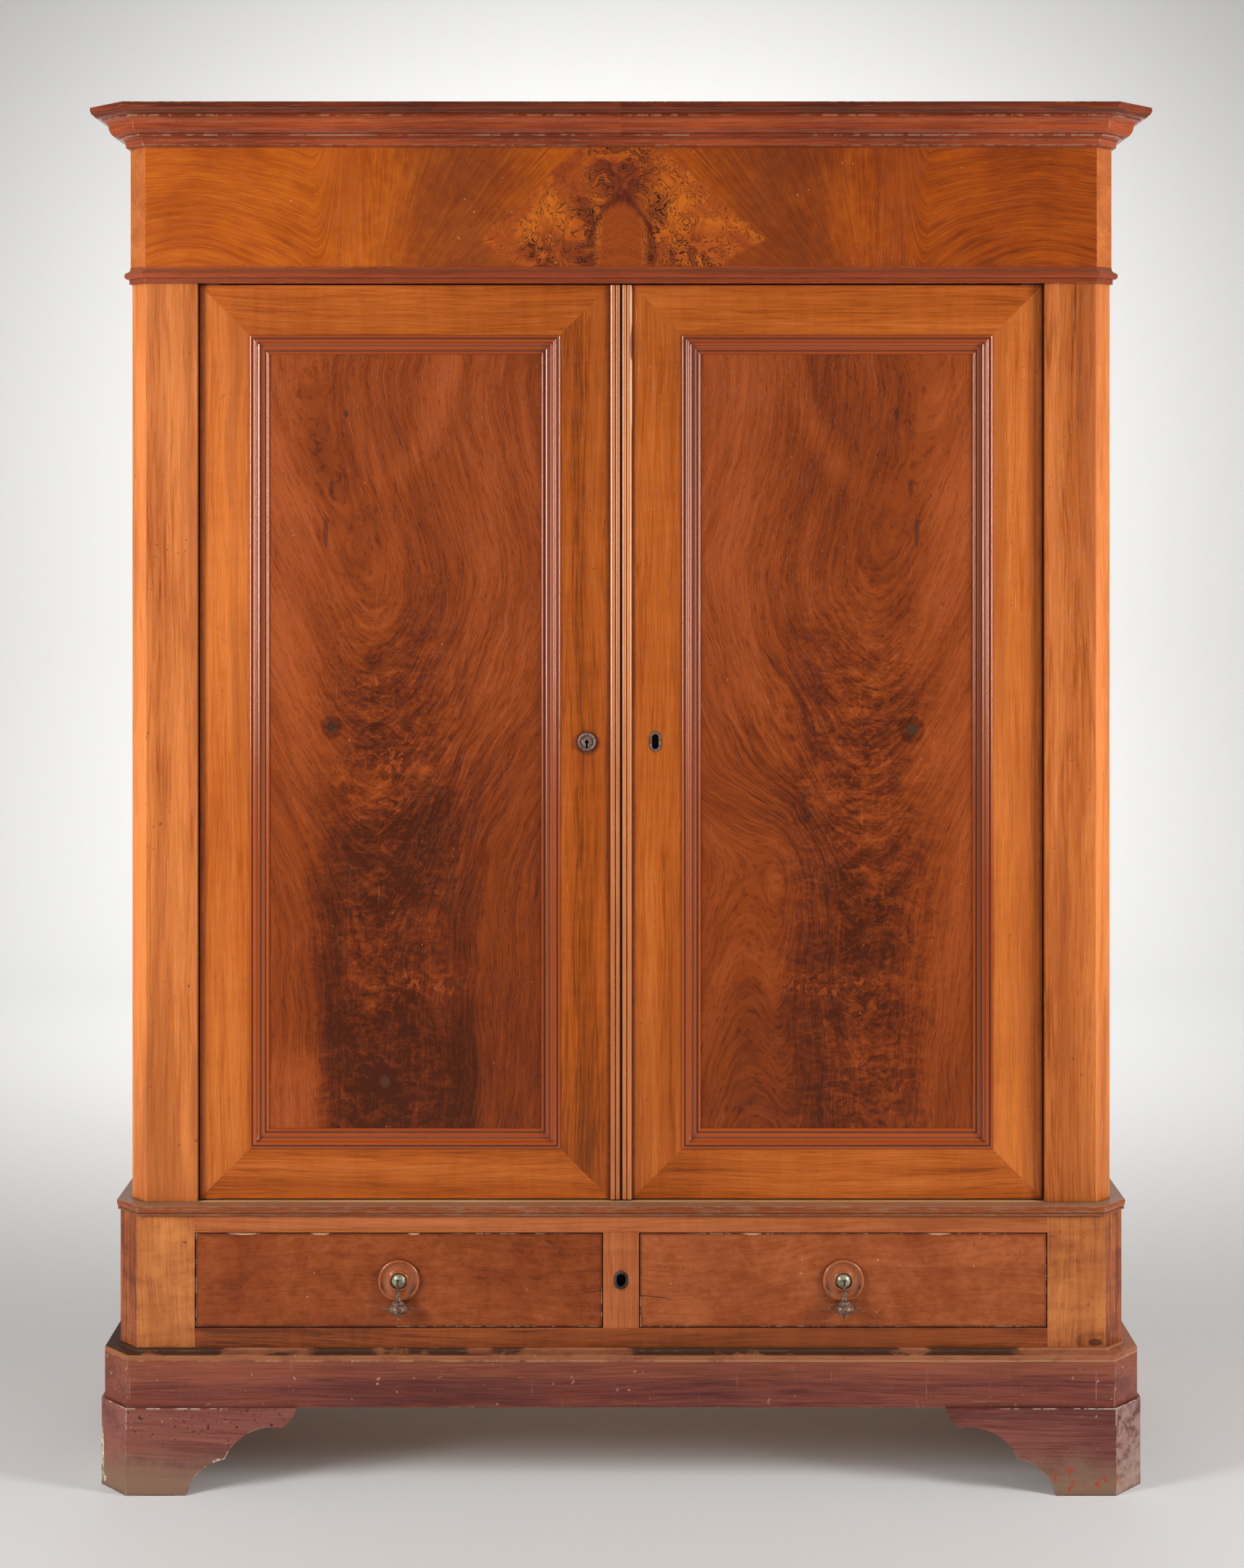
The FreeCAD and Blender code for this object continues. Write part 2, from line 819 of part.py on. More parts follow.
def plinth():
    """A board with a rounded upper edge, and the bead that the drawer section stands in."""
    height = dim["plinth_height"]
    soft = dim["plinth_round"]
    bead = dim["bead"]
    seat = dim["plinth_seat"]
    inner_step = dim["base_step"] - seat
    board = dim["plinth_step"] - inner_step
    profile = [
        (ZERO, ZERO),
        (board, ZERO),
        (board, height - soft),
        (board - soft, height, QUARTER_ROUND_SHARE),
        (seat + bead, height),
        (seat, height + bead, QUARTER_ROUND_SHARE),
        (seat, height),
        (ZERO, height),
    ]
    pieces = wrapped("plinth", profile, inner_step, board, foot_top, case_back, True)
    return keep("plinth", group("plinth", pieces))


def drawer_section():
    half, front, leg = outline(dim["base_step"], True)
    opening = half_base_opening
    post_back = front + dim["base_post_depth"]
    rail_back = front + dim["rail_depth"]
    back_face = case_back - dim["base_back_board"]
    inner_half = half - dim["board"]
    plan = [
        (opening, front),
        (half - leg, front),
        (half, front + leg),
        (half, post_back),
        (opening, post_back),
    ]
    posts = [post("base_post_right", 1, plan, plinth_top, base_top),
             post("base_post_left", -1, plan, plinth_top, base_top)]
    keep("base_posts", group("base_posts", posts))

    cheeks = []
    for side, word in ((1, "right"), (-1, "left")):
        across = sides(side, inner_half, half)
        cheeks.append(box("base_side_" + word, across, (post_back, case_back), (plinth_top, base_top)))
    keep("base_sides", group("base_sides", cheeks))
    keep("base_back", box("base_back", (-inner_half, inner_half), (back_face, case_back),
                          (foot_top, base_top)))

    low_rail = box("low_rail", (-opening, opening), (front, rail_back), (plinth_top, drawer_floor))
    top_rail = box("top_rail", (-opening, opening), (front, rail_back), (drawer_ceiling, base_top))
    keep("drawer_rails", group("drawer_rails", [low_rail, top_rail]))

    dust_top = drawer_floor - dim["runner_height"]
    plan = [
        (-inner_half, back_face),
        (-inner_half, post_back),
        (-opening, post_back),
        (-opening, rail_back),
        (opening, rail_back),
        (opening, post_back),
        (inner_half, post_back),
        (inner_half, back_face),
    ]
    keep("dust_board", post("dust_board", 1, plan, dust_top - dim["dust_board"], dust_top))

    box_edge = dim["drawer_side_inset"] + dim["drawer_gap"] - dim["guide_gap"]
    center_guide = dim["muntin_width"] / 2 + box_edge
    center = center_guide + dim["runner_seat"]
    outer_guide = opening - box_edge
    outer_runner = outer_guide - dim["runner_seat"]
    guide_top = drawer_floor + dim["guide_height"]
    depth = (rail_back, back_face)
    tracks = [
        box("center_runner", (-center, center), depth, (dust_top, drawer_floor)),
        box("center_guide", (-center_guide, center_guide), depth, (drawer_floor, guide_top)),
    ]
    for side, word in ((1, "right"), (-1, "left")):
        across = sides(side, outer_runner, inner_half)
        depth = (post_back, back_face)
        tracks.append(box("runner_" + word, across, depth, (dust_top, drawer_floor)))
        across = sides(side, outer_guide, outer_guide + dim["outer_guide_width"])
        tracks.append(box("guide_" + word, across, depth, (drawer_floor, guide_top)))
    keep("drawer_runners", group("drawer_runners", tracks))
    return front


def muntin(front):
    """The upright between the drawers, pierced for the key, with its lock behind."""
    half = dim["muntin_width"] / 2
    depth = dim["muntin_depth"]
    level = drawer_middle
    rim = dim["muntin_key_rim"]
    width = dim["muntin_key_width"]
    height = dim["muntin_key_height"]
    rise = dim["key_rim_rise"]
    board = box("muntin_board", (-half, half), (front, front + depth), (drawer_floor, drawer_ceiling))
    outer = stadium(width + rim * 2, height + rim * 2)
    bore = punch("muntin_bore", outer, depth * 2, (ZERO, front - depth / 2, level))
    keep("drawer_muntin", cut("drawer_muntin", board, bore))

    escutcheon = key_liner("muntin_liner", width, height, rim, depth + rise, (ZERO, front - rise, level))
    case_front_face = front + depth
    lock_half = dim["drawer_lock_width"] / 2
    half_height = dim["drawer_lock_height"] / 2
    case = box("drawer_lock_case", (-lock_half, lock_half),
               (case_front_face, case_front_face + dim["drawer_lock_depth"]),
               (level - half_height, level + half_height))
    wall = dim["drawer_bolt_wall"]
    slack = dim["bolt_slack"]
    bolt_half = dim["drawer_bolt_height"] / 2
    channel = box("drawer_lock_channel", (-lock_half * 2, lock_half * 2),
                  (case_front_face + wall - slack,
                   case_front_face + wall + dim["drawer_bolt_thickness"] + slack),
                  (level - bolt_half - slack, level + bolt_half + slack))
    hollow = cut("drawer_lock_body", case, channel)
    keep("drawer_lock", group("drawer_lock", [hollow, escutcheon]))
    for side, word in ((1, "right"), (-1, "left")):
        across = sides(side, dim["drawer_bolt_gap"] / 2, lock_half)
        keep("drawer_bolt_" + word,
             box("drawer_bolt_" + word, across,
                 (case_front_face + wall, case_front_face + wall + dim["drawer_bolt_thickness"]),
                 (level - bolt_half, level + bolt_half)))


def key_liner(name, width, height, rim, depth, center):
    """A metal sleeve with an oval hole, set into the wood round a keyhole."""
    body = document.addObject("PartDesign::Body", name)
    pad(body, draw(body, "XY_Plane", stadium(width + rim * 2, height + rim * 2)), depth)
    pocket(body, draw(body, "XY_Plane", stadium(width, height)))
    place(body, center, turned(LEFT, UP))
    return body


# Case

def waist_and_deck():
    profile = scaled(WAIST_SHARES, dim["waist_reach"], dim["waist_height"])
    pieces = wrapped("waist", profile, ZERO, dim["waist_reach"], base_top, case_back)
    keep("waist_moulding", group("waist_moulding", pieces))
    half, front, leg = outline(ZERO)
    plan = [
        (-half, case_back),
        (-half, front + leg),
        (leg - half, front),
        (half - leg, front),
        (half, front + leg),
        (half, case_back),
    ]
    keep("deck_board", post("deck_board", 1, plan, base_top, deck_top))


def upper_case():
    half, front, leg = outline(ZERO)
    post_back = front + dim["pilaster_depth"]
    inner = half - dim["board"]
    groove_outer = inner + dim["side_panel_board"]
    rebate = dim["side_rebate"]
    plan = [
        (half_opening, front),
        (half - leg, front),
        (half, front + leg),
        (half, post_back),
        (groove_outer, post_back),
        (groove_outer, post_back - rebate),
        (inner, post_back - rebate),
        (inner, post_back),
        (half_opening, post_back),
    ]
    keep("pilaster_right", post("pilaster_right", 1, plan, deck_top, head_level))
    keep("pilaster_left", post("pilaster_left", -1, plan, deck_top, head_level))

    stile_front = case_back - dim["side_stile_width"]
    stile_plan = [
        (groove_outer, stile_front),
        (half, stile_front),
        (half, case_back),
        (inner, case_back),
        (inner, stile_front + rebate),
        (groove_outer, stile_front + rebate),
    ]
    board = dim["board"]
    thin = dim["side_panel_board"]
    low = dim["side_low_rail"]
    high = dim["side_top_rail"]
    low_profile = [
        (ZERO, ZERO),
        (board, ZERO),
        (board, low),
        (thin, low),
        (thin, low - rebate),
        (ZERO, low - rebate),
    ]
    high_profile = [
        (thin, ZERO),
        (board, ZERO),
        (board, high),
        (ZERO, high),
        (ZERO, rebate),
        (thin, rebate),
    ]
    length = stile_front - post_back
    members = []
    panels = []
    for side, word, outward in ((1, "right", RIGHT), (-1, "left", LEFT)):
        start = stile_front if side > 0 else post_back
        members.append(post("side_stile_" + word, side, stile_plan, deck_top, head_level))
        members.append(run("side_low_rail_" + word, low_profile, board, length,
                           (inner * side, start, deck_top), outward, UP, SQUARE_SHARE, SQUARE_SHARE))
        members.append(run("side_top_rail_" + word, high_profile, board, length,
                           (inner * side, start, head_level - high), outward, UP,
                           SQUARE_SHARE, SQUARE_SHARE))
        slack = dim["fit"]
        panels.append(box("side_panel_" + word, sides(side, inner, groove_outer),
                          (post_back - rebate + slack, stile_front + rebate - slack),
                          (deck_top + low - rebate, head_level - high + rebate - slack)))
    keep("side_frames", group("side_frames", members))
    keep("side_panels", group("side_panels", panels))

    gap = dim["back_gap"]
    width = (inner * 2 - gap * (BACK_BOARDS - 1)) / BACK_BOARDS
    boards = []
    for index in range(BACK_BOARDS):
        left = (width + gap) * index - inner
        boards.append(box("back_board_%d" % (index + 1), (left, left + width),
                          (case_back - dim["back_board"], case_back), (deck_top, head_level)))
    keep("back_boards", group("back_boards", boards))


def top_unit():
    """Frieze, its lower moulding, the cornice and the roof board."""
    board = dim["frieze_board"]
    height = top_level - head_level
    inner_step = dim["frieze_step"] - board
    rear = case_back - dim["frieze_back_board"]
    pieces = wrapped("frieze", rectangle(board, height), inner_step, board, head_level, rear)
    keep("frieze_front", pieces[0])
    outer = half_body + dim["frieze_step"]
    back_rail = box("frieze_back", (-outer, outer), (rear, case_back), (head_level, top_level))
    keep("frieze_returns", group("frieze_returns", pieces[1:] + [back_rail]))

    profile = scaled(BAND_SHARES, dim["band_reach"], dim["band_height"])
    pieces = wrapped("band", profile, dim["frieze_step"], dim["band_reach"], head_level, case_back)
    keep("frieze_moulding", group("frieze_moulding", pieces))

    profile = scaled(CORNICE_SHARES, dim["cornice_reach"], dim["cornice_height"])
    pieces = wrapped("cornice", profile, dim["frieze_step"], dim["cornice_reach"], frieze_top, case_back)
    keep("cornice", group("cornice", pieces))

    inner = half_body + inner_step
    roof_top = top_level - dim["roof_drop"]
    half, front, leg = outline(inner_step)
    plan = [
        (-inner, rear),
        (-inner, front + leg),
        (leg - inner, front),
        (inner - leg, front),
        (inner, front + leg),
        (inner, rear),
    ]
    keep("roof_board", post("roof_board", 1, plan, roof_top - dim["roof_board"], roof_top))


def hanging_room():
    """Door stops, hat shelf on battens, and the pole in its turned sockets."""
    stop_front = door_back + dim["fit"]
    stop_back = stop_front + dim["stop_thickness"]
    frieze_inner = case_front - dim["frieze_step"] + dim["frieze_board"]
    lip_bottom = head_level - dim["stop_lip"]
    low_top = deck_top + dim["low_stop_height"]
    stop_end = pivot_x - dim["stop_relief"]
    notch = dim["rod_radius"] + dim["notch_slack"]
    rod_x = -dim["rod_inset"]
    bridge_back = rod_y - dim["rod_radius"] - dim["fit"]
    stops = [
        box("head_batten", (-half_opening, half_opening), (frieze_inner, stop_back),
            (head_level, head_level + dim["stop_batten"])),
    ]
    for word, bottom, top in (("top", lip_bottom, head_level), ("low", deck_top, low_top)):
        depth = (stop_front, stop_back)
        stops.append(box("stop_%s_left" % word, (-stop_end, rod_x - notch), depth, (bottom, top)))
        stops.append(box("stop_%s_right" % word, (rod_x + notch, stop_end), depth, (bottom, top)))
        stops.append(box("stop_%s_bridge" % word, (rod_x - notch, rod_x + notch),
                         (stop_front, bridge_back), (bottom, top)))
    keep("door_stops", group("door_stops", stops))

    inner = half_body - dim["board"]
    back_face = case_back - dim["back_board"]
    shelf_top = top_level - dim["shelf_drop"]
    shelf_bottom = shelf_top - dim["shelf_board"]
    batten_inner = inner - dim["shelf_batten_width"]
    pilaster_back = case_front + dim["pilaster_depth"]
    shelf = [box("shelf", (-inner, inner), (case_front + dim["shelf_setback"], back_face),
                 (shelf_bottom, shelf_top))]
    for side, word in ((1, "right"), (-1, "left")):
        shelf.append(box("shelf_batten_" + word, sides(side, batten_inner, inner),
                         (pilaster_back, back_face),
                         (shelf_bottom - dim["shelf_batten_height"], shelf_bottom)))
    keep("hat_shelf", group("hat_shelf", shelf))

    level = shelf_bottom - dim["pole_drop"]
    middle = (pilaster_back + back_face) / 2
    reach = inner - dim["socket_length"] + dim["socket_bore"]
    pieces = [rod("pole", dim["pole_radius"], reach * 2, (-reach, middle, level), RIGHT)]
    bore_radius = dim["pole_radius"] + dim["pole_slack"]
    for side, word in ((1, "right"), (-1, "left")):
        inward = LEFT if side > 0 else RIGHT
        cup = rod("socket_cup_" + word, dim["socket_radius"], dim["socket_length"],
                  (inner * side, middle, level), inward)
        bore = rod("socket_bore_" + word, bore_radius, dim["socket_length"],
                   (reach * side, middle, level), inward)
        pieces.append(cut("socket_" + word, cup, bore))
    keep("clothes_pole", group("clothes_pole", pieces))


# Doors

door_face = case_front + dim["door_recess"]
door_back = door_face + dim["door_thickness"]
door_low = deck_top + dim["door_end_gap"]
door_high = head_level - dim["door_end_gap"]
door_outer = half_opening - dim["door_side_gap"]
meeting_edge = dim["meeting_gap"] / 2
rod_y = door_back + dim["lock_depth"] - dim["rod_wall"] - dim["rod_slack"] - dim["rod_radius"]
key_level = door_low + dim["key_rise"]
pivot_x = door_outer - dim["pivot_inset"]
pivot_y = door_face + dim["pivot_depth"]


def frame_loop(name, profile, reach, x, z, level):
    """Four mitred members round an opening, with their faces to the front.

    They come in the order left, top, right, bottom, and the profile's inner face lies
    on the edge of the opening.
    """
    slope = FRAME_MITRE_SHARE
    width = x[1] - x[0]
    height = z[1] - z[0]
    return [
        run(name + "_left", profile, reach, height, (x[0], level, z[0]), LEFT, FRONT, slope, slope),
        run(name + "_top", profile, reach, width, (x[0], level, z[1]), UP, FRONT, slope, slope),
        run(name + "_right", profile, reach, height, (x[1], level, z[1]), RIGHT, FRONT, slope, slope),
        run(name + "_bottom", profile, reach, width, (x[1], level, z[0]), DOWN, FRONT, slope, slope),
    ]


def door(side, word):
    """A mitred frame with its panel, panel moulding, meeting strip and pivot bushes."""
    name = "door_%s_" % word
    member = dim["door_member"]
    thick = dim["door_thickness"]
    strip_edge = meeting_edge + dim["astragal_width"]
    x = sides(side, strip_edge + member, door_outer - member)
    z = (door_low + member, door_high - member)

    # Frame, with the panel's groove along its inner edge
    panel_back = thick - dim["door_panel_depth"] - dim["door_panel_board"]
    panel_face = thick - dim["door_panel_depth"]
    groove = dim["door_groove"]
    profile = [
        (ZERO, ZERO),
        (member, ZERO),
        (member, thick),
        (ZERO, thick),
        (ZERO, panel_face),
        (groove, panel_face),
        (groove, panel_back),
        (ZERO, panel_back),
    ]
    left, top, right, bottom = frame_loop(name + "frame", profile, member, x, z, door_back)
    hinge_stile, meeting_stile = (right, left) if side > 0 else (left, right)

    # Bores for the pivot bushes, at both ends of the hinge stile
    bush = dim["pivot_bush_length"]
    bush_x = pivot_x * side
    bores = group(name + "bores", [
        rod(name + "bore_low", dim["pivot_bush_radius"], bush, (bush_x, pivot_y, door_low), UP),
        rod(name + "bore_high", dim["pivot_bush_radius"], bush, (bush_x, pivot_y, door_high), DOWN),
    ])
    key = keyhole_tool(side, name)
    hinge_stile = cut(name + "hinge_stile", hinge_stile, bores)
    meeting_stile = cut(name + "meeting_stile", meeting_stile, key)
    keep(name + "stiles", group(name + "stiles", [hinge_stile, meeting_stile]))
    top = cut(name + "top_rail", top, bores)
    bottom = cut(name + "bottom_rail", bottom, bores)
    keep(name + "rails", group(name + "rails", [top, bottom]))

    tongue = groove - dim["panel_slack"]
    face_y = door_face + dim["door_panel_depth"]
    keep(name + "panel", box(name + "panel", (x[0] - tongue, x[1] + tongue),
                             (face_y, face_y + dim["door_panel_board"]),
                             (z[0] - tongue, z[1] + tongue)))

    width = dim["panel_moulding_width"]
    rise = dim["door_panel_depth"] + dim["panel_moulding_rise"]
    inner_x = (x[0] + width, x[1] - width)
    inner_z = (z[0] + width, z[1] - width)
    moulding = scaled(PANEL_MOULDING_SHARES, width, rise)
    keep(name + "moulding", group(name + "moulding",
                                  frame_loop(name + "bead", moulding, width, inner_x, inner_z, face_y)))
    keep(name + "astragal", astragal(side, name))
    keep(name + "bushes", group(name + "bushes", [
        bush_ring(name + "bush_low", (bush_x, pivot_y, door_low), UP),
        bush_ring(name + "bush_high", (bush_x, pivot_y, door_high), DOWN),
    ]))


def bush_ring(name, start, along):
    ring = rod(name + "_outer", dim["pivot_bush_radius"], dim["pivot_bush_length"], start, along)
    radius = dim["pivot_pin_radius"] + dim["pivot_running"]
    hole = rod(name + "_hole", radius, dim["pivot_bush_length"], start, along)
    return cut(name, ring, hole)


def astragal(side, name):
    """The strip on a door's meeting edge, as thick as the door and reeded in front."""
    width = dim["astragal_width"]
    rise = dim["astragal_rise"]
    plan = [(meeting_edge + width, door_back), (meeting_edge, door_back)]
    plan.append((meeting_edge, door_face - rise * STRIP_EDGE_SHARE))
    for across, up, bulge in ASTRAGAL_SHARES:
        plan.append((meeting_edge + width * across, door_face - rise * up, bulge))
    return post(name + "astragal", side, plan, door_low, door_high)


def keyhole_tool(side, name):
    """The bar that pierces a meeting stile for the key."""
    center = (dim["key_inset"] * side, door_face - dim["door_thickness"] / 2, key_level)
    depth = dim["door_thickness"] * 2
    if side > 0:
        rim = dim["door_key_rim"]
        outer = stadium(dim["door_key_width"] + rim * 2, dim["door_key_height"] + rim * 2)
        return punch(name + "key_bore", outer, depth, center)
    start = (dim["key_inset"] * side, center[1], key_level)
    return rod(name + "key_bore", dim["pin_key_bore"], depth, start, REAR)


def pivot_pins():
    """A plate with its pin at each corner of the door opening."""
    length = dim["pivot_plate_length"]
    width = dim["pivot_plate_width"]
    gap = dim["door_end_gap"]
    reach = dim["pivot_pin_length"] + gap
    pieces = []
    for side, word in ((1, "right"), (-1, "left")):
        across = sides(side, half_opening - length, half_opening)
        depth = (pivot_y - width / 2, pivot_y + width / 2)
        axis = pivot_x * side
        plate = box("low_plate_" + word, across, depth, (deck_top, door_low))
        pin = rod("low_pin_" + word, dim["pivot_pin_radius"], reach, (axis, pivot_y, deck_top), UP)
        pieces.append(fuse("low_pivot_" + word, plate, pin))
        plate = box("high_plate_" + word, across, depth, (door_high, head_level))
        pin = rod("high_pin_" + word, dim["pivot_pin_radius"], reach, (axis, pivot_y, head_level), DOWN)
        pieces.append(fuse("high_pivot_" + word, plate, pin))
    keep("pivot_pins", group("pivot_pins", pieces))


def right_lock():
    """The rim lock of the right door, its bolt, and the keeper on the left door."""
    level = key_level
    edge = dim["lock_edge"]
    half_height = dim["lock_height"] / 2
    depth = (door_back, door_back + dim["lock_depth"])
    case = box("right_lock_case", (edge, edge + dim["lock_length"]), depth,
               (level - half_height, level + half_height))
    bolt_level = level + dim["bolt_rise"]
    half_bolt = dim["bolt_height"] / 2
    wall = dim["bolt_wall"]
    slack = dim["bolt_slack"]
    bolt_depth = (door_back + wall, door_back + wall + dim["bolt_thickness"])
    channel = box("right_lock_channel", (edge - slack, edge + dim["bolt_length"] + slack),
                  (bolt_depth[0] - slack, bolt_depth[1] + slack),
                  (bolt_level - half_bolt - slack, bolt_level + half_bolt + slack))
    keep("door_right_lock", cut("door_right_lock", case, channel))
    keep("door_right_bolt", box("door_right_bolt", (edge, edge + dim["bolt_length"]), bolt_depth,
                                (bolt_level - half_bolt, bolt_level + half_bolt)))
    far = -dim["keeper_inset"] - dim["keeper_width"]
    near = -dim["keeper_inset"]
    band = dim["keeper_wall"]
    low = bolt_level - half_bolt - slack
    high = bolt_level + half_bolt + slack
    cover = bolt_depth[1] + slack
    return [
        box("keeper_low", (far, near), (door_back, cover), (low - band, low)),
        box("keeper_high", (far, near), (door_back, cover), (high, high + band)),
        box("keeper_cover", (far, near), (cover, cover + band), (low - band, high + band)),
    ]


def left_lock(keeper):
    """The espagnolette of the left door: a case, guides, and a rod each way."""
    level = key_level
    half_height = dim["lock_height"] / 2
    edge = -dim["espagnolette_edge"]
    case = box("left_lock_case", (edge - dim["espagnolette_length"], edge),
               (door_back, door_back + dim["lock_depth"]), (level - half_height, level + half_height))
    axis = (-dim["rod_inset"], rod_y)
    radius = dim["rod_radius"]
    gap = dim["rod_gap"]
    rod_top = head_level - dim["stop_lip"] - gap
    rod_low = deck_top + dim["low_stop_height"] + gap
    sunk = dim["rod_sunk"]
    high_start = level + half_height - sunk
    low_start = level - half_height + sunk
    keep("door_left_top_rod", rod("door_left_top_rod", radius, rod_top - high_start,
                                  (axis[0], axis[1], high_start), UP))
    keep("door_left_low_rod", rod("door_left_low_rod", radius, low_start - rod_low,
                                  (axis[0], axis[1], low_start), DOWN))
    bore_radius = radius + dim["rod_slack"]
    sleeve = rod("rod_sleeve", bore_radius, top_level, (axis[0], axis[1], ZERO), UP)
    half_width = dim["rod_guide_width"] / 2
    guide = dim["rod_guide_length"]
    inset = dim["rod_guide_inset"]
    pieces = [cut("left_lock_body", case, sleeve)]
    levels = (("top", door_high - inset), ("high", level + half_height + inset),
              ("mid", level - half_height - inset - guide), ("low", door_low + inset - guide))
    for word, bottom in levels:
        block = box("rod_guide_block_" + word, (axis[0] - half_width, axis[0] + half_width),
                    (door_back, door_back + dim["lock_depth"]), (bottom, bottom + guide))
        pieces.append(cut("rod_guide_" + word, block, sleeve))
    keep("door_left_lock", group("door_left_lock", pieces + keeper))


def escutcheons():
    """The turned rose of the left door and the oval liner of the right one."""
    body = document.addObject("PartDesign::Body", "door_left_escutcheon")
    radius = dim["rose_radius"]
    rise = dim["rose_rise"]
    points = [(ZERO, ZERO)] + scaled(ROSE_SHARES, radius, rise) + [(ZERO, rise)]
    revolve(body, draw(body, "XY_Plane", points))
    hole = dim["pin_key_radius"]
    slot = dim["pin_key_slot"] / 2
    drop = dim["pin_key_drop"]
    keyhole = [(-slot, -drop), (slot, -drop), (slot, ZERO), (-slot, ZERO)]
    place(body, (-dim["key_inset"], door_face, key_level), turned(RIGHT, FRONT))
    pin = rod("rose_pin_hole", hole, rise * 2, (-dim["key_inset"], door_face + rise / 2, key_level), FRONT)
    slit = punch("rose_slit", keyhole, rise * 2,
                 (-dim["key_inset"], door_face - rise - rise / 2, key_level))
    holes = fuse("rose_keyhole", pin, slit)
    keep("door_left_escutcheon", cut("door_left_escutcheon", body, holes))
    rise = dim["key_rim_rise"]
    liner = key_liner("door_right_escutcheon", dim["door_key_width"], dim["door_key_height"],
                      dim["door_key_rim"], dim["door_thickness"] + rise,
                      (dim["key_inset"], door_face - rise, key_level))
    keep("door_right_escutcheon", liner)


# Drawers and their pulls

def drawer(side, word, section_front):
    name = "drawer_%s_" % word
    gap = dim["drawer_gap"]
    near = dim["muntin_width"] / 2 + gap
    far = half_base_opening - gap
    face = section_front + dim["drawer_setback"]
    front_back = face + dim["drawer_front_board"]
    rear = case_back - dim["base_back_board"] - dim["drawer_rear_gap"]
    keep(name + "front", box(name + "front", sides(side, near, far), (face, front_back),
                             (drawer_floor + gap, drawer_ceiling - gap)))
    board = dim["drawer_side_board"]
    inset = dim["drawer_side_inset"]
    inner = sides(side, near + inset + board, far - inset - board)
    height = dim["drawer_side_height"]
    groove = dim["drawer_bottom_groove"]
    bottom = dim["drawer_bottom_rise"]
    bottom_top = bottom + dim["drawer_bottom_board"]
    profile = [
        (ZERO, ZERO),
        (board, ZERO),
        (board, height),
        (ZERO, height),
        (ZERO, bottom_top),
        (groove, bottom_top),
        (groove, bottom),
        (ZERO, bottom),
    ]
    depth = rear - front_back
    pieces = [
        run(name + "side_right", profile, board, depth, (inner[1], rear, drawer_floor), RIGHT, UP,
            SQUARE_SHARE, SQUARE_SHARE),
        run(name + "side_left", profile, board, depth, (inner[0], front_back, drawer_floor), LEFT, UP,
            SQUARE_SHARE, SQUARE_SHARE),
        box(name + "back", inner, (rear - board, rear), (drawer_floor + bottom_top, drawer_floor + height)),
        box(name + "bottom", (inner[0] - groove, inner[1] + groove), (front_back, rear),
            (drawer_floor + bottom, drawer_floor + bottom_top)),
    ]
    keep(name + "box", group(name + "box", pieces))
    center = (near + far) / 2 * side
    pull(name, "pull_" + word, (center, face, drawer_middle))


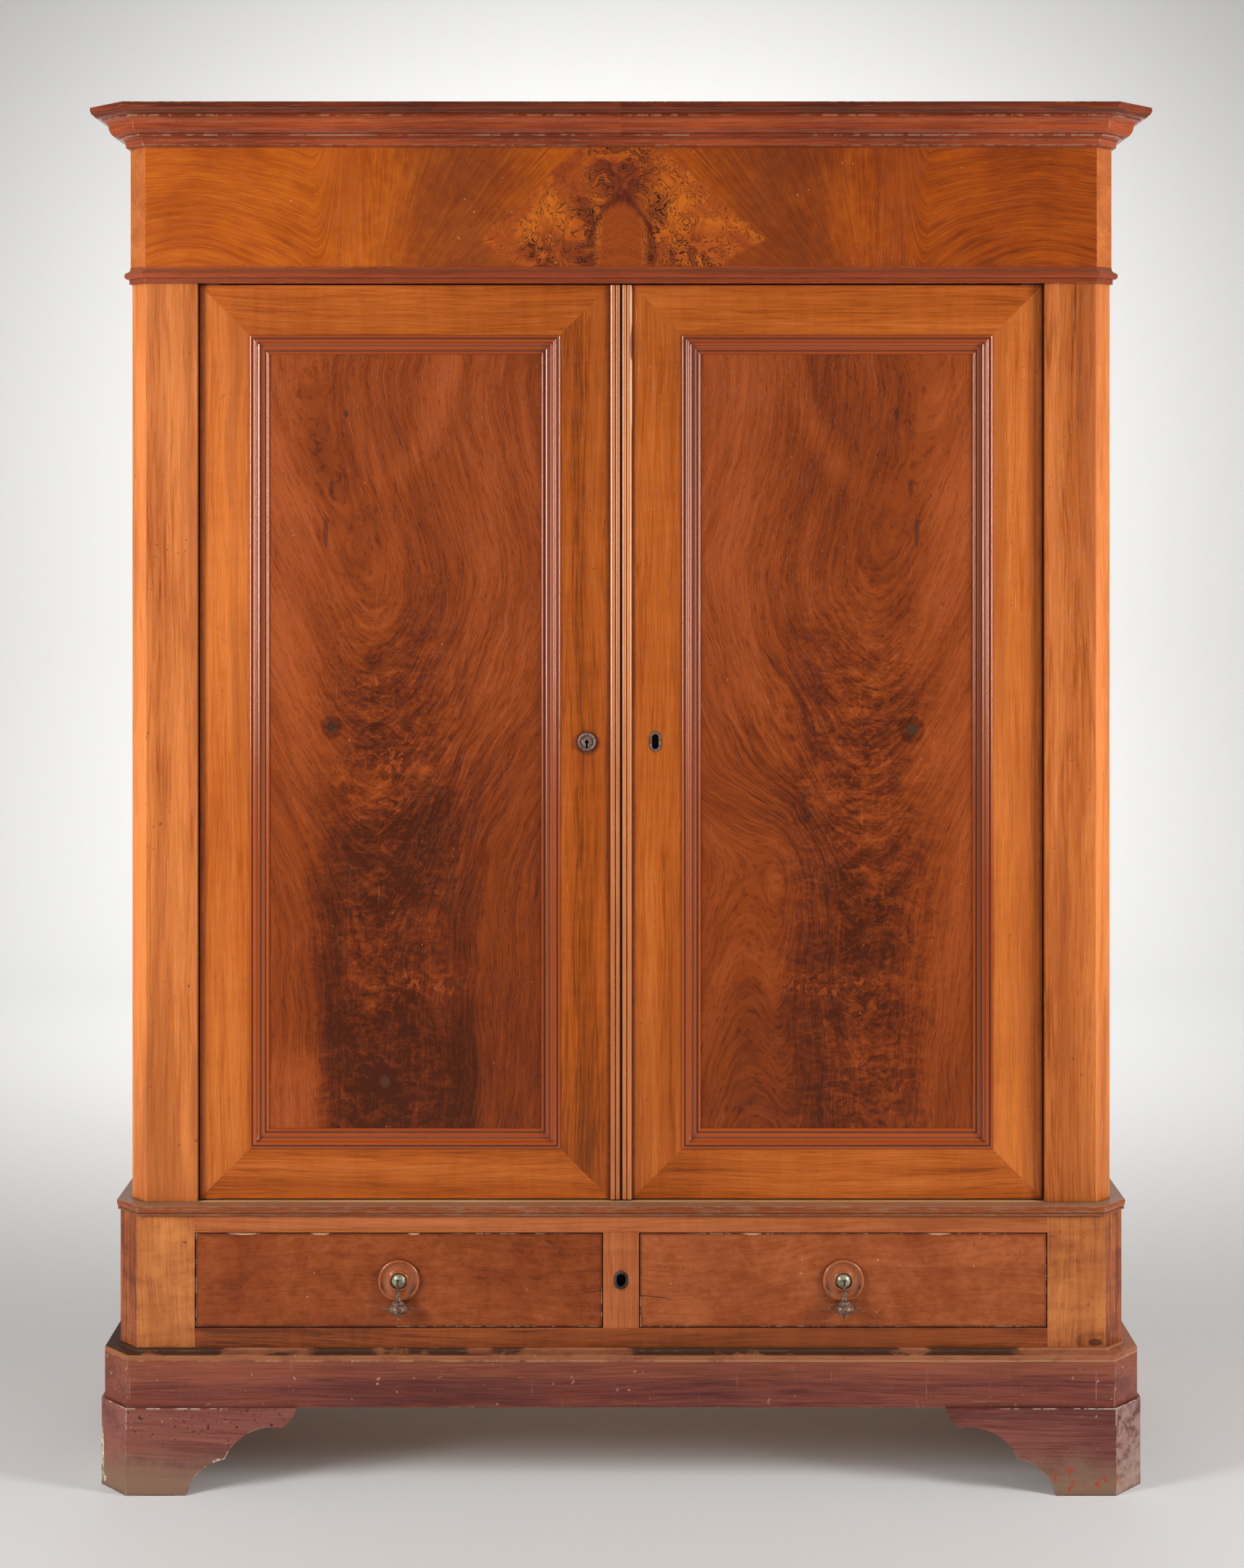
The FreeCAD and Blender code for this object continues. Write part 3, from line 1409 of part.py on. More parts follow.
def pull(name, pendant_name, center):
    """A turned rosette, a domed knob with a fork, and the pendant hung in the fork."""
    across, face, level = center
    rise = dim["rosette_rise"]
    seat = rise * ROSETTE_SEAT_SHARE
    points = [(ZERO, ZERO)] + scaled(ROSETTE_SHARES, dim["rosette_radius"], rise) + [(ZERO, seat)]
    body = document.addObject("PartDesign::Body", name + "rosette")
    revolve(body, draw(body, "XY_Plane", points))
    place(body, center, turned(RIGHT, FRONT))
    keep(name + "rosette", body)

    # Dome set into the rosette
    radius = dim["knob_radius"]
    dome = dim["knob_dome"]
    edge = seat + dim["knob_edge"]
    bulge = math.tan(math.atan(dome.number / radius.number) / 2)
    points = [(ZERO, seat), (radius, seat), (radius, edge), (ZERO, edge + dome, bulge)]
    knob = document.addObject("PartDesign::Body", name + "knob")
    revolve(knob, draw(knob, "XY_Plane", points))
    place(knob, center, turned(RIGHT, FRONT))

    # Fork with its pin, open to the front and below
    reach = dim["drop_radius"] + dim["drop_clearance"]
    middle = face - reach
    eye = dim["eye_thickness"]
    slot = eye / 2 + dim["eye_slack"]
    half_fork = slot + dim["fork_wall"]
    cheek = dim["fork_radius"]
    depth = dim["eye_radius"] + dim["eye_slack"] * 2
    sides_x = (across - half_fork, across + half_fork)
    block = box(name + "block", sides_x, (middle, face - edge), (level - cheek, level + cheek))
    nose = rod(name + "nose", cheek, half_fork * 2, (across - half_fork, middle, level), RIGHT)
    fork = fuse(name + "fork", block, nose)
    mouth = box(name + "mouth", (across - slot, across + slot), (middle - cheek * 2, middle + depth),
                (level - cheek * 2, level + cheek * 2))
    slotted = cut(name + "slotted", fork, mouth)
    pin = rod(name + "pin", dim["eye_pin_radius"], half_fork * 2, (across - half_fork, middle, level), RIGHT)
    pinned = fuse(name + "pinned", slotted, pin)
    keep(name + "knob", fuse(name + "knob", knob, pinned))

    # Pendant: eye and stem, the turned drop, the crossbar and the finial
    half_eye = eye / 2
    top = level - dim["drop_gap"]
    disc = rod(pendant_name + "_disc", dim["eye_radius"], eye, (across - half_eye, middle, level), RIGHT)
    shank = box(pendant_name + "_shank", (across - half_eye, across + half_eye),
                (middle - half_eye, middle + half_eye), (top, level - dim["eye_radius"] / 2))
    hole = rod(pendant_name + "_hole", dim["eye_pin_radius"] + dim["eye_running"], eye * 2,
               (across - eye, middle, level), RIGHT)
    tab = cut(pendant_name + "_eye", fuse(pendant_name + "_tab", disc, shank), hole)
    collar = rod(pendant_name + "_collar", dim["stem_radius"], dim["collar_height"],
                 (across, middle, top), UP)
    stem = fuse(pendant_name + "_stem", tab, collar)

    length = dim["drop_length"]
    radius = dim["drop_radius"]
    points = [(ZERO, ZERO), (ZERO, -length)]
    turning = [(radius * wide, -(length * low), bulge) for wide, low, bulge in DROP_SHARES]
    upward = mirrored_order([(dim["drop_neck_radius"], ZERO, 0.0)] + turning)
    drop = document.addObject("PartDesign::Body", pendant_name + "_drop")
    revolve(drop, draw(drop, "XY_Plane", points + upward))
    place(drop, (across, middle, top), turned(RIGHT, UP))
    bar = dim["crossbar_reach"]
    crossbar = rod(pendant_name + "_crossbar", dim["crossbar_radius"], bar * 2,
                   (across - bar, middle, top - length * CROSSBAR_SHARE), RIGHT)
    foot = top - length
    pin_length = dim["finial_length"] - dim["finial_radius"]
    spike = rod(pendant_name + "_spike", dim["finial_radius"] / 2, pin_length, (across, middle, foot), DOWN)
    ball_end = document.addObject("Part::Sphere", pendant_name + "_bead")
    bind(ball_end, Radius=dim["finial_radius"])
    place(ball_end, (across, middle, foot - pin_length))
    finial = fuse(pendant_name + "_finial", spike, ball_end)
    solid = fuse(pendant_name + "_bar", drop, crossbar)
    solid = fuse(pendant_name + "_low", solid, finial)
    keep(pendant_name, fuse(pendant_name, solid, stem))


front_foot(-1, "left")
front_foot(1, "right")
rear_feet()
plinth()
base_front = drawer_section()
muntin(base_front)
waist_and_deck()
upper_case()
top_unit()
hanging_room()
door(-1, "left")
door(1, "right")
pivot_pins()
left_lock(right_lock())
escutcheons()
drawer(-1, "left", base_front)
drawer(1, "right", base_front)
document.recompute()

for item in document.Objects:
    state = " ".join(item.State)
    if "Invalid" in state or "Error" in state:
        owners = [owner.Name for owner in item.InList]
        raise RuntimeError("%s of %s: %s" % (item.Label, owners, state))
for label, piece in nodes.items():
    if piece.Shape.isNull() or not piece.Shape.isValid() or not piece.Shape.Solids:
        raise RuntimeError("bad shape: " + label)

os.makedirs("parts", exist_ok=True)
for label, piece in nodes.items():
    piece.Shape.exportStep("parts/%s.step" % label)
print(len(nodes), "sub-parts")
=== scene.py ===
import json
import math
import bmesh
import bpy
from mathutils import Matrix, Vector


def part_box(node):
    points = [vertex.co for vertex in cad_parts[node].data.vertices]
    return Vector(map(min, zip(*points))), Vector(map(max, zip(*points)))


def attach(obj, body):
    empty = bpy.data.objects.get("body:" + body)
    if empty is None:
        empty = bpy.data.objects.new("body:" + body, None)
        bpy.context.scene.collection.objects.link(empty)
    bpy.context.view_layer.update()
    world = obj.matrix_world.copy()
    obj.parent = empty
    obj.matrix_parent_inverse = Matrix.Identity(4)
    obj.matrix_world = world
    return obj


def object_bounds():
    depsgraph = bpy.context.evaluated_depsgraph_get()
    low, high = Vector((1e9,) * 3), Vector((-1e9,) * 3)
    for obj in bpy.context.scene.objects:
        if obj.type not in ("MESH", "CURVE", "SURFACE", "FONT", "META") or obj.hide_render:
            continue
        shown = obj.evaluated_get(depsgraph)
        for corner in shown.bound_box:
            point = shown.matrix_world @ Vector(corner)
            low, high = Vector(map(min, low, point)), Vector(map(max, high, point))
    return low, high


# The looks of a two-door walnut wardrobe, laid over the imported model. All lengths are in
# metres, in the model's frame: X to the right, Y to the back, Z up.

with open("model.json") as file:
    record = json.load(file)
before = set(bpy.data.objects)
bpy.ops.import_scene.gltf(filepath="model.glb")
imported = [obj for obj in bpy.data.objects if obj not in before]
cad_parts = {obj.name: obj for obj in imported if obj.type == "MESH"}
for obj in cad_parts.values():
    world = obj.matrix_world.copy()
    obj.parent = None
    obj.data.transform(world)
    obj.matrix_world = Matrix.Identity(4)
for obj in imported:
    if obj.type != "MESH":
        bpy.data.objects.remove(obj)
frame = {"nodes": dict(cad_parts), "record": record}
cad_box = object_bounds()
nodes = frame["nodes"]
scene = bpy.context.scene


# Camera

PHOTO_WIDTH = 1711
PHOTO_HEIGHT = 2156
FOCAL_LENGTH_PX = 3325.0
AXIS_PX = (854.0, 680.0)  # where the level line of sight meets the picture
SENSOR = 0.036
EYE_HEIGHT = 1.438
EYE_DISTANCE = 3.513  # in front of the pilasters
EYE_ASIDE = -0.0002

pilaster_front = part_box("pilaster_left")[0].y
camera_data = bpy.data.cameras.new("camera")
camera_data.sensor_width = SENSOR * 1000
camera_data.lens = FOCAL_LENGTH_PX / PHOTO_HEIGHT * SENSOR * 1000
camera_data.shift_x = (PHOTO_WIDTH / 2 - AXIS_PX[0]) / PHOTO_HEIGHT
camera_data.shift_y = (AXIS_PX[1] - PHOTO_HEIGHT / 2) / PHOTO_HEIGHT
camera = bpy.data.objects.new("camera", camera_data)
camera.location = (EYE_ASIDE, pilaster_front - EYE_DISTANCE, EYE_HEIGHT)
camera.rotation_euler = (math.radians(90), 0, 0)
scene.collection.objects.link(camera)
scene.camera = camera


# Places on the front

SIDES = {"left": -1, "right": 1}


def front_middle(box):
    """The middle of a box seen from the front: x and z."""
    low, high = box
    return (low.x + high.x) / 2, (low.z + high.z) / 2


# Node trees written as formulas

SAMPLES = 4  # rays for rounded edges and for inner corners
FLAT_COSINE = 0.995  # between the plain and the rounded normal, on the flats
SHARP_COSINE = 0.85  # and at sharp edges
OPEN_SHARE = 0.85  # share of the sky that is seen in the open
DEEP_SHARE = 0.35  # and in inner corners
SPOT_RIM = (1.15, 0.75)  # a spot fades between these shares of its reach
COAT_ROUGHNESS = 0.16
EDGE = 0.0007  # radius by which wooden edges are rounded in the light


class Field:
    """A number that varies over a surface, for formulas."""

    def __init__(self, look, socket):
        self.look = look
        self.socket = socket

    def _math(self, kind, *others, clamp=False):
        node = self.look.tree.nodes.new("ShaderNodeMath")
        node.operation = kind
        node.use_clamp = clamp
        for index, value in enumerate((self,) + others):
            self.look.feed(node.inputs[index], value)
        return Field(self.look, node.outputs[0])

    def __add__(self, other):
        return self._math("ADD", other)

    def __sub__(self, other):
        return self._math("SUBTRACT", other)

    def __rsub__(self, other):
        return self * -1 + other

    def __mul__(self, other):
        return self._math("MULTIPLY", other)

    def __truediv__(self, other):
        return self._math("DIVIDE", other)

    def size(self):
        return self._math("ABSOLUTE")

    def sign(self):
        return self._math("SIGN")

    def whole(self):
        return self._math("FLOOR")

    def root(self):
        return self._math("SQRT")

    def most(self, other):
        return self._math("MAXIMUM", other)

    def over(self, other):
        return self._math("GREATER_THAN", other)

    def clamp(self):
        return self._math("ADD", 0.0, clamp=True)

    def toward(self, other, amount):
        """This number, taken to another by an amount from 0 to 1."""
        return self + (other - self) * amount

    def step(self, low, high):
        """Rises smoothly from 0 at low to 1 at high, or falls if high is the lower."""
        node = self.look.tree.nodes.new("ShaderNodeMapRange")
        node.interpolation_type = "SMOOTHSTEP"
        falls = low > high
        ends = (high, low, 1.0, 0.0) if falls else (low, high, 0.0, 1.0)
        self.look.feed(node.inputs["Value"], self)
        for name, value in zip(("From Min", "From Max", "To Min", "To Max"), ends):
            node.inputs[name].default_value = value
        return Field(self.look, node.outputs["Result"])

    def near(self, value, width):
        """1 at a value, falling smoothly to 0 at a width from it."""
        return (self - value).size().step(width, 0.0)


class Look:
    """A material, with short ways to make the parts of its node tree."""

    def __init__(self, name):
        self.material = bpy.data.materials.new(name)
        self.material.use_nodes = True
        self.tree = self.material.node_tree
        self.shader = self.tree.nodes["Principled BSDF"]
        coordinates = self.tree.nodes.new("ShaderNodeTexCoord")
        self.place = coordinates.outputs["Object"]
        self.x, self.y, self.z = self.parts(self.place)
        self.facing = self.parts(coordinates.outputs["Normal"])

    def parts(self, vector):
        """The three numbers of a vector."""
        split = self.tree.nodes.new("ShaderNodeSeparateXYZ")
        self.tree.links.new(vector, split.inputs[0])
        return tuple(Field(self, split.outputs[i]) for i in range(3))

    def feed(self, socket, value):
        if isinstance(value, Field):
            self.tree.links.new(value.socket, socket)
        elif isinstance(value, bpy.types.NodeSocket):
            self.tree.links.new(value, socket)
        else:
            socket.default_value = value

    def vector(self, x, y, z):
        node = self.tree.nodes.new("ShaderNodeCombineXYZ")
        for index, value in enumerate((x, y, z)):
            self.feed(node.inputs[index], value)
        return node.outputs[0]

    def noise(self, vector, scale=1.0, detail=2.0, rough=0.5, twist=0.0):
        """Smooth noise, about 0 to 1 with its middle at a half."""
        node = self.tree.nodes.new("ShaderNodeTexNoise")
        self.tree.links.new(vector, node.inputs["Vector"])
        node.inputs["Scale"].default_value = scale
        node.inputs["Detail"].default_value = detail
        node.inputs["Roughness"].default_value = rough
        node.inputs["Distortion"].default_value = twist
        return Field(self, node.outputs["Fac"])

    def spot(self, x, z, wide, high, ragged=0.0):
        """1 inside a patch of the front about x, z, with a soft or ragged rim."""
        across = (self.x - x) / wide
        up = (self.z - z) / high
        reach = (across * across + up * up).root()
        if ragged:
            reach = reach + (self.noise(self.place, 1.4 / min(wide, high), 3.0) - 0.5) * ragged
        return reach.step(*SPOT_RIM)

    def slanted(self):
        """1 on upright faces that are turned both to the front and to a side."""
        return self.facing[0].size().step(0.5, 0.7) * self.facing[1].size().step(0.2, 0.5)

    def beyond(self, name):
        """How far a point of the front is beside and above a node, less than 0 within it."""
        low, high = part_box(name)
        x, z = front_middle((low, high))
        beside = (self.x - x).size() - (high.x - low.x) / 2
        above = (self.z - z).size() - (high.z - low.z) / 2
        return beside, above

    def edges(self, radius):
        """1 at sharp edges, 0 on the flats."""
        plain = self.tree.nodes.new("ShaderNodeNewGeometry")
        turn = self.tree.nodes.new("ShaderNodeVectorMath")
        turn.operation = "DOT_PRODUCT"
        self.tree.links.new(self.rounded(radius), turn.inputs[0])
        self.tree.links.new(plain.outputs["Normal"], turn.inputs[1])
        return Field(self, turn.outputs["Value"]).step(FLAT_COSINE, SHARP_COSINE)

    def rounded(self, radius):
        """The normal of the surface with its edges rounded."""
        node = self.tree.nodes.new("ShaderNodeBevel")
        node.samples = SAMPLES
        node.inputs["Radius"].default_value = radius
        return node.outputs["Normal"]

    def corners(self, reach):
        """1 deep in inner corners, 0 in the open."""
        node = self.tree.nodes.new("ShaderNodeAmbientOcclusion")
        node.samples = SAMPLES
        node.inputs["Distance"].default_value = reach
        return Field(self, node.outputs["AO"]).step(OPEN_SHARE, DEEP_SHARE)

    def tones(self, amount, *stops):
        """A colour from a number, by stops of (number, colour)."""
        node = self.tree.nodes.new("ShaderNodeValToRGB")
        ramp = node.color_ramp
        while len(ramp.elements) < len(stops):
            ramp.elements.new(0.5)
        for element, (place, colour) in zip(ramp.elements, stops):
            element.position = place
            element.color = (*colour, 1.0)
        self.feed(node.inputs["Fac"], amount)
        return node.outputs["Color"]

    def mix(self, amount, first, second):
        """The second colour over the first, by an amount from 0 to 1."""
        node = self.tree.nodes.new("ShaderNodeMix")
        node.data_type = "RGBA"
        self.feed(node.inputs["Factor"], amount)
        for name, value in (("A", first), ("B", second)):
            socket = [s for s in node.inputs if s.name == name and s.type == "RGBA"][0]
            self.feed(socket, (*value, 1.0) if isinstance(value, tuple) else value)
        return [s for s in node.outputs if s.type == "RGBA"][0]

    def tint(self, colour, amount):
        """A colour made lighter or darker by a factor."""
        node = self.tree.nodes.new("ShaderNodeVectorMath")
        node.operation = "SCALE"
        self.tree.links.new(colour, node.inputs[0])
        self.feed(node.inputs["Scale"], amount)
        return node.outputs[0]

    def finish(self, colour, roughness, height=None, depth=0.0, coat=0.0, metallic=0.0, edge=EDGE):
        """Feeds the shader. The height is turned to a bump of the given depth, and sharp
        edges are rounded in the light by the given radius."""
        self.feed(self.shader.inputs["Base Color"], colour)
        self.feed(self.shader.inputs["Roughness"], roughness)
        self.shader.inputs["Metallic"].default_value = metallic
        self.shader.inputs["Coat Weight"].default_value = coat
        self.shader.inputs["Coat Roughness"].default_value = COAT_ROUGHNESS
        normal = self.rounded(edge) if edge else None
        if height is not None:
            bump = self.tree.nodes.new("ShaderNodeBump")
            bump.inputs["Strength"].default_value = 1.0
            bump.inputs["Distance"].default_value = depth
            self.feed(bump.inputs["Height"], height)
            if normal:
                self.tree.links.new(normal, bump.inputs["Normal"])
            normal = bump.outputs["Normal"]
        if normal:
            self.tree.links.new(normal, self.shader.inputs["Normal"])
        return self.material


# Colours

SHEEN = 0.009  # what the gloss of the wood adds to its colour under the lamps


def rgb(red, green, blue):
    """A colour as seen on a screen, from 0 to 255, as light, less the sheen."""
    def light(value):
        value = value / 255
        value = value / 12.92 if value <= 0.04045 else ((value + 0.055) / 1.055) ** 2.4
        return max(value - SHEEN, value * 0.25)
    return light(red), light(green), light(blue)


def times(colour, factor):
    return tuple(min(1.0, part * factor) for part in colour)


# Dark, middle and light tone of each wood
HONEY = (rgb(164, 84, 38), rgb(190, 107, 54), rgb(210, 124, 66))
AMBER = (rgb(160, 78, 30), rgb(184, 96, 40), rgb(200, 112, 52))
GOLD = (rgb(140, 62, 14), rgb(170, 80, 22), rgb(194, 100, 32))
FLAME = (rgb(106, 48, 28), rgb(138, 64, 31), rgb(162, 80, 42))
CORNICE = (rgb(112, 48, 26), rgb(142, 63, 36), rgb(168, 78, 42))
POLISHED = (rgb(106, 38, 8), rgb(150, 62, 16), rgb(184, 86, 28))
MOTTLE = (rgb(130, 60, 28), rgb(150, 75, 38), rgb(170, 92, 52))
POST = (rgb(158, 88, 48), rgb(184, 108, 58), rgb(200, 124, 68))
RAIL = (rgb(140, 70, 36), rgb(164, 86, 46), rgb(182, 104, 60))
PLUM = (rgb(92, 48, 42), rgb(117, 62, 52), rgb(142, 78, 62))
DUSK = (rgb(94, 50, 48), rgb(116, 64, 58), rgb(136, 80, 70))
PINE = (rgb(176, 124, 80), rgb(204, 156, 108), rgb(220, 180, 134))

DUST = rgb(150, 136, 112)
GRIME = rgb(38, 26, 20)
RAW = rgb(232, 196, 150)
RIM_SHADE_AND_DIRT = rgb(58, 26, 16)  # painted shade and dirt at the rims of boards
CORNER_DIRT_AND_SHADE = rgb(48, 22, 14)  # dirt in inner corners, and the painted shade there
GROOVE_POLISH_AND_SHADE = rgb(56, 22, 16)  # old polish in grooves, and the painted shade there


# Directions of the grain: along it, and two ways across it

MOULDING_STRETCH = 0.15  # the figure of panel mouldings is drawn out further by one over this


def upright(look):
    return look.z, look.x, look.y


def crosswise(look):
    return look.x, look.z, look.y


def inward(look):
    return look.y, look.z, look.x


def around(look):
    """Along the mouldings that run round the front corners to the back."""
    return look.x + look.x.sign() * look.y, look.z, look.x * 0.0


def looped(name):
    """Along the four mitred members of a frame, from the box of its node."""
    def grain(look):
        beside, above = look.beyond(name)
        level = above.over(beside)
        along = look.z.toward(look.x, level) * MOULDING_STRETCH
        return along, look.x.toward(look.z, level), look.y
    return grain


# Wood

STRETCH = 0.035  # the figure is drawn out along the grain by one over this
FIBRE_SCALE = 420.0
PORE_SCALE = 1100.0
MIDDLE_TONE = 0.53
GLOSS_TINT = (1.0, 0.86, 0.74, 1.0)  # warm, so that lamps don't grey the dark wood


class Wood(Look):
    """Polished wood, built up as a tone from 0 for the darkest to 1 for the lightest. Its
    polish is a roughness, depth that of its bumps, gloss its specular level, and
    corner_dirt_and_shade how much its inner corners are darkened, by dirt and painted shade."""

    def __init__(self, name, palette, seed, polish=0.3, coat=0.1, depth=0.00012, gloss=0.35,
                 corner_dirt_and_shade=0.75):
        super().__init__(name)
        self.palette = palette
        self.seed = seed
        self.polish = polish
        self.coat = coat
        self.depth = depth
        self.gloss = gloss
        self.corner_dirt_and_shade = corner_dirt_and_shade
        self.stains = []

    def grow(self, grain, bands=1.1, fibres=0.5, drift=0.6, sway=0.012, curl=0.0, width=34.0,
             blush=0.35):
        """Straight wood: bands and fibres drawn out along the grain, with redder streaks."""
        along, across, depth = grain(self)
        calm = self.vector(across * 3.0 + self.seed, depth * 3.0, along * 1.3)
        across = across + (self.noise(calm, 1.0, 3.0) - 0.5) * (sway * 4.0)
        self.draw(self.vector(across + self.seed, depth, along * STRETCH), bands, fibres, width)
        streaks = self.noise(self.vector(across - self.seed, depth, along * 0.06), 21.0, 4.0, 0.65)
        self.stain(streaks.step(0.48, 0.66) * blush, times(self.palette[0], 0.92))
        slow = self.vector(across * 1.5 + self.seed, depth, along * 1.2)
        self.shift((self.noise(slow, 2.4, 2.0) - 0.5) * drift)
        if curl:
            waves = self.vector(across * 9.0 + self.seed, depth * 9.0, along * 60.0)
            self.shift((self.noise(waves, 1.0, 2.0, 0.5, 0.6) - 0.5) * curl)
        return self

    def draw(self, vector, bands, fibres, width):
        """Starts the tone with noise along lines of a figure, and thin dark lines in it."""
        self.fibres = self.noise(vector, FIBRE_SCALE, 3.0, 0.65)
        self.pores = self.noise(vector, PORE_SCALE, 2.0, 0.6).step(0.60, 0.72)
        wide = self.noise(vector, width, 5.0, 0.70)
        veins = self.noise(vector, width * 2.2, 3.0, 0.6).near(0.5, 0.045)
        self.tone = (wide - 0.5) * bands + (self.fibres - 0.5) * fibres - veins * bands * 0.12
        return self.shift(MIDDLE_TONE)

    def shift(self, amount):
        """Lightens the tone, or darkens it if the amount is below 0."""
        self.tone = self.tone + amount
        return self

    def stain(self, amount, colour, dull=0.3):
        """Lays a colour over the wood, where the amount is over 0, and dulls it there."""
        self.stains.append((amount, colour, dull))
        return self

    def specks(self, amount, colour, scale, share):
        """Small scattered marks."""
        marks = self.noise(self.place, scale, 1.0).step(share, share + 0.03)
        place = self.noise(self.place, scale * 0.08, 2.0).step(0.40, 0.65)
        return self.stain(marks * place * amount, colour)

    def scratches(self, amount, colour, rising=False):
        """Fine scratches in a few places, level or upright."""
        long, short = (self.z, self.x) if rising else (self.x, self.z)
        lines = self.noise(self.vector(long * 12.0, self.y * 12.0, short * 520.0), 1.0, 2.0, 0.7)
        place = self.noise(self.place, 13.0, 2.0).step(0.48, 0.62)
        return self.stain(lines.step(0.66, 0.72) * place * amount, colour)

    def chips(self, amount, colour, radius=0.0016, share=0.50):
        """Worn places along sharp edges."""
        rub = self.noise(self.place, 55.0, 4.0, 0.7).step(share, share + 0.06)
        place = self.noise(self.place, 7.0, 1.0).step(0.40, 0.58)
        return self.stain(self.edges(radius) * rub * place * amount, colour)

    def dust(self, amount):
        """Settled on what faces up."""
        patches = self.noise(self.place, 45.0, 4.0, 0.7)
        return self.stain(self.facing[2].step(0.45, 0.9) * (patches * 0.5 + 0.5) * amount, DUST)

    def rim(self, name, width, amount):
        """Darkens the front of a node toward its outline: painted shade, and dirt."""
        beside, above = self.beyond(name)
        ragged = self.noise(self.place, 0.5 / width, 3.0, 0.6) * (0.8 * width) - 0.4 * width
        return self.stain((beside.most(above) + ragged).step(-width, 0.0) * amount, RIM_SHADE_AND_DIRT)

    def grooves(self, across, width, shares, amount, half=0.075):
        """Dark lines in the grooves of a moulding, at shares of its width: old polish, and painted shade.
        """
        for share in shares:
            self.stain(across.near(width * share, width * half) * amount, GROOVE_POLISH_AND_SHADE, 0.8)
        return self

    def knot(self, x, z, wide, high, colour):
        """A dark knot with a ring of darker wood about it."""
        self.shift(self.spot(x, z, wide * 2.6, high * 2.6, 0.6) * -0.25)
        return self.stain(self.spot(x, z, wide, high, 0.7) * 0.8, colour)

    def done(self):
        dark, middle, light = self.palette
        corner_patches = self.noise(self.place, 40.0, 3.0, 0.6) * 0.5 + 0.6
        # Inner corners darkened: dirt held there, and painted shade.
        self.stain(self.corners(0.009) * corner_patches * self.corner_dirt_and_shade, CORNER_DIRT_AND_SHADE)
        colour = self.tones(self.tone.clamp(), (0.0, times(dark, 0.45)), (0.25, dark), (0.5, middle),
                            (0.75, light), (1.0, times(light, 1.2)))
        colour = self.tint(colour, 1.0 - self.pores * 0.25)
        smudge = self.noise(self.place, 14.0, 4.0, 0.6) - 0.5
        rough = smudge * 0.22 + self.pores * 0.12 + self.polish
        for amount, stain, dull in self.stains:
            colour = self.mix(amount.clamp(), colour, stain)
            rough = rough + amount.clamp() * dull
        height = self.fibres * 0.35 - self.pores * 0.7 + self.noise(self.place, 9.0, 1.0) * 3.0
        self.shader.inputs["Specular IOR Level"].default_value = self.gloss
        self.shader.inputs["Specular Tint"].default_value = GLOSS_TINT
        return self.finish(colour, rough, height, self.depth, self.coat)


# The case

def pilaster(word, seed, bands, tone):
    wood = Wood("pilaster_%s_walnut" % word, HONEY, seed)
    wood.grow(upright, bands, 0.75, 0.6, width=24.0, blush=0.55)
    wood.shift(wood.slanted() * 0.24 + tone)
    wood.scratches(0.4, rgb(232, 180, 132), rising=True).specks(0.5, GRIME, 150.0, 0.73)
    return wood.chips(0.6, rgb(224, 168, 120)).done()


def side_frames():
    return Wood("side_walnut", AMBER, 101.0).grow(upright, 0.9, 0.5, 0.6).done()


def side_panels():
    wood = Wood("side_panel_walnut", FLAME, 105.0)
    return wood.grow(upright, 1.1, 0.7, 0.8, sway=0.03, curl=0.3).done()


CORNICE_GROOVES = (0.03, 0.20, 0.30, 0.70, 0.80)  # shares of its height
CORNICE_FASCIA_SHADE = (0.019, 0.014)  # between these depths below its top it turns dark: painted shade on the fascia, as the light comes from lower


def cornice():
    low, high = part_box("cornice")
    wood = Wood("cornice_walnut", CORNICE, 53.0, polish=0.26, coat=0.3, depth=0.00006, gloss=0.5)
    wood.grow(around, 1.3, 0.9, 0.7, blush=0.5)
    # The fascia near the top darker: painted shade, as the light comes from lower.
    wood.shift(wood.z.step(high.z - CORNICE_FASCIA_SHADE[0], high.z - CORNICE_FASCIA_SHADE[1]) * -0.40 + 0.13)
    # Dark grooves: old polish, and painted shade.
    wood.grooves(wood.z - low.z, high.z - low.z, CORNICE_GROOVES, 0.5, 0.03)
    wood.scratches(0.5, rgb(206, 150, 110)).chips(0.8, rgb(196, 156, 124), 0.003, 0.47)
    return wood.dust(0.5).done()


def frieze_moulding():
    wood = Wood("band_walnut", CORNICE, 57.0, polish=0.26, coat=0.3, depth=0.00006, gloss=0.5)
    wood.grow(around, 0.8, 0.5, 0.6).shift(0.05)
    return wood.chips(0.4, rgb(214, 160, 116)).dust(0.4).done()


def frieze_ends():
    wood = Wood("frieze_end_walnut", HONEY, 73.0).grow(crosswise, 0.7, 0.4, 0.5)
    return wood.shift(-0.1).chips(0.5, rgb(224, 168, 120)).done()


# The figure of the frieze, in distances from its middle and heights above the floor
FAN_APEX = (0.36, 1.66)
ARCH_MIDDLE = (0.62, 1.67)
GLOOM_AWAY = 0.23  # dark clouds behind and beside the burr
BURR_LOW = (1.808, 0.205, 1.55)  # a height, half its width there, and how it narrows below
BURR_HIGH = (1.943, 0.056, 1.12)  # the same, narrowing above
BURR_RIM = 0.006
NECK_AWAY = 0.054
EYE_AWAY = 0.105
TONGUE_TOP = 1.868
TONGUE_HALF = 0.03
TONGUE_ROUND = 26.0  # how much its head is rounded


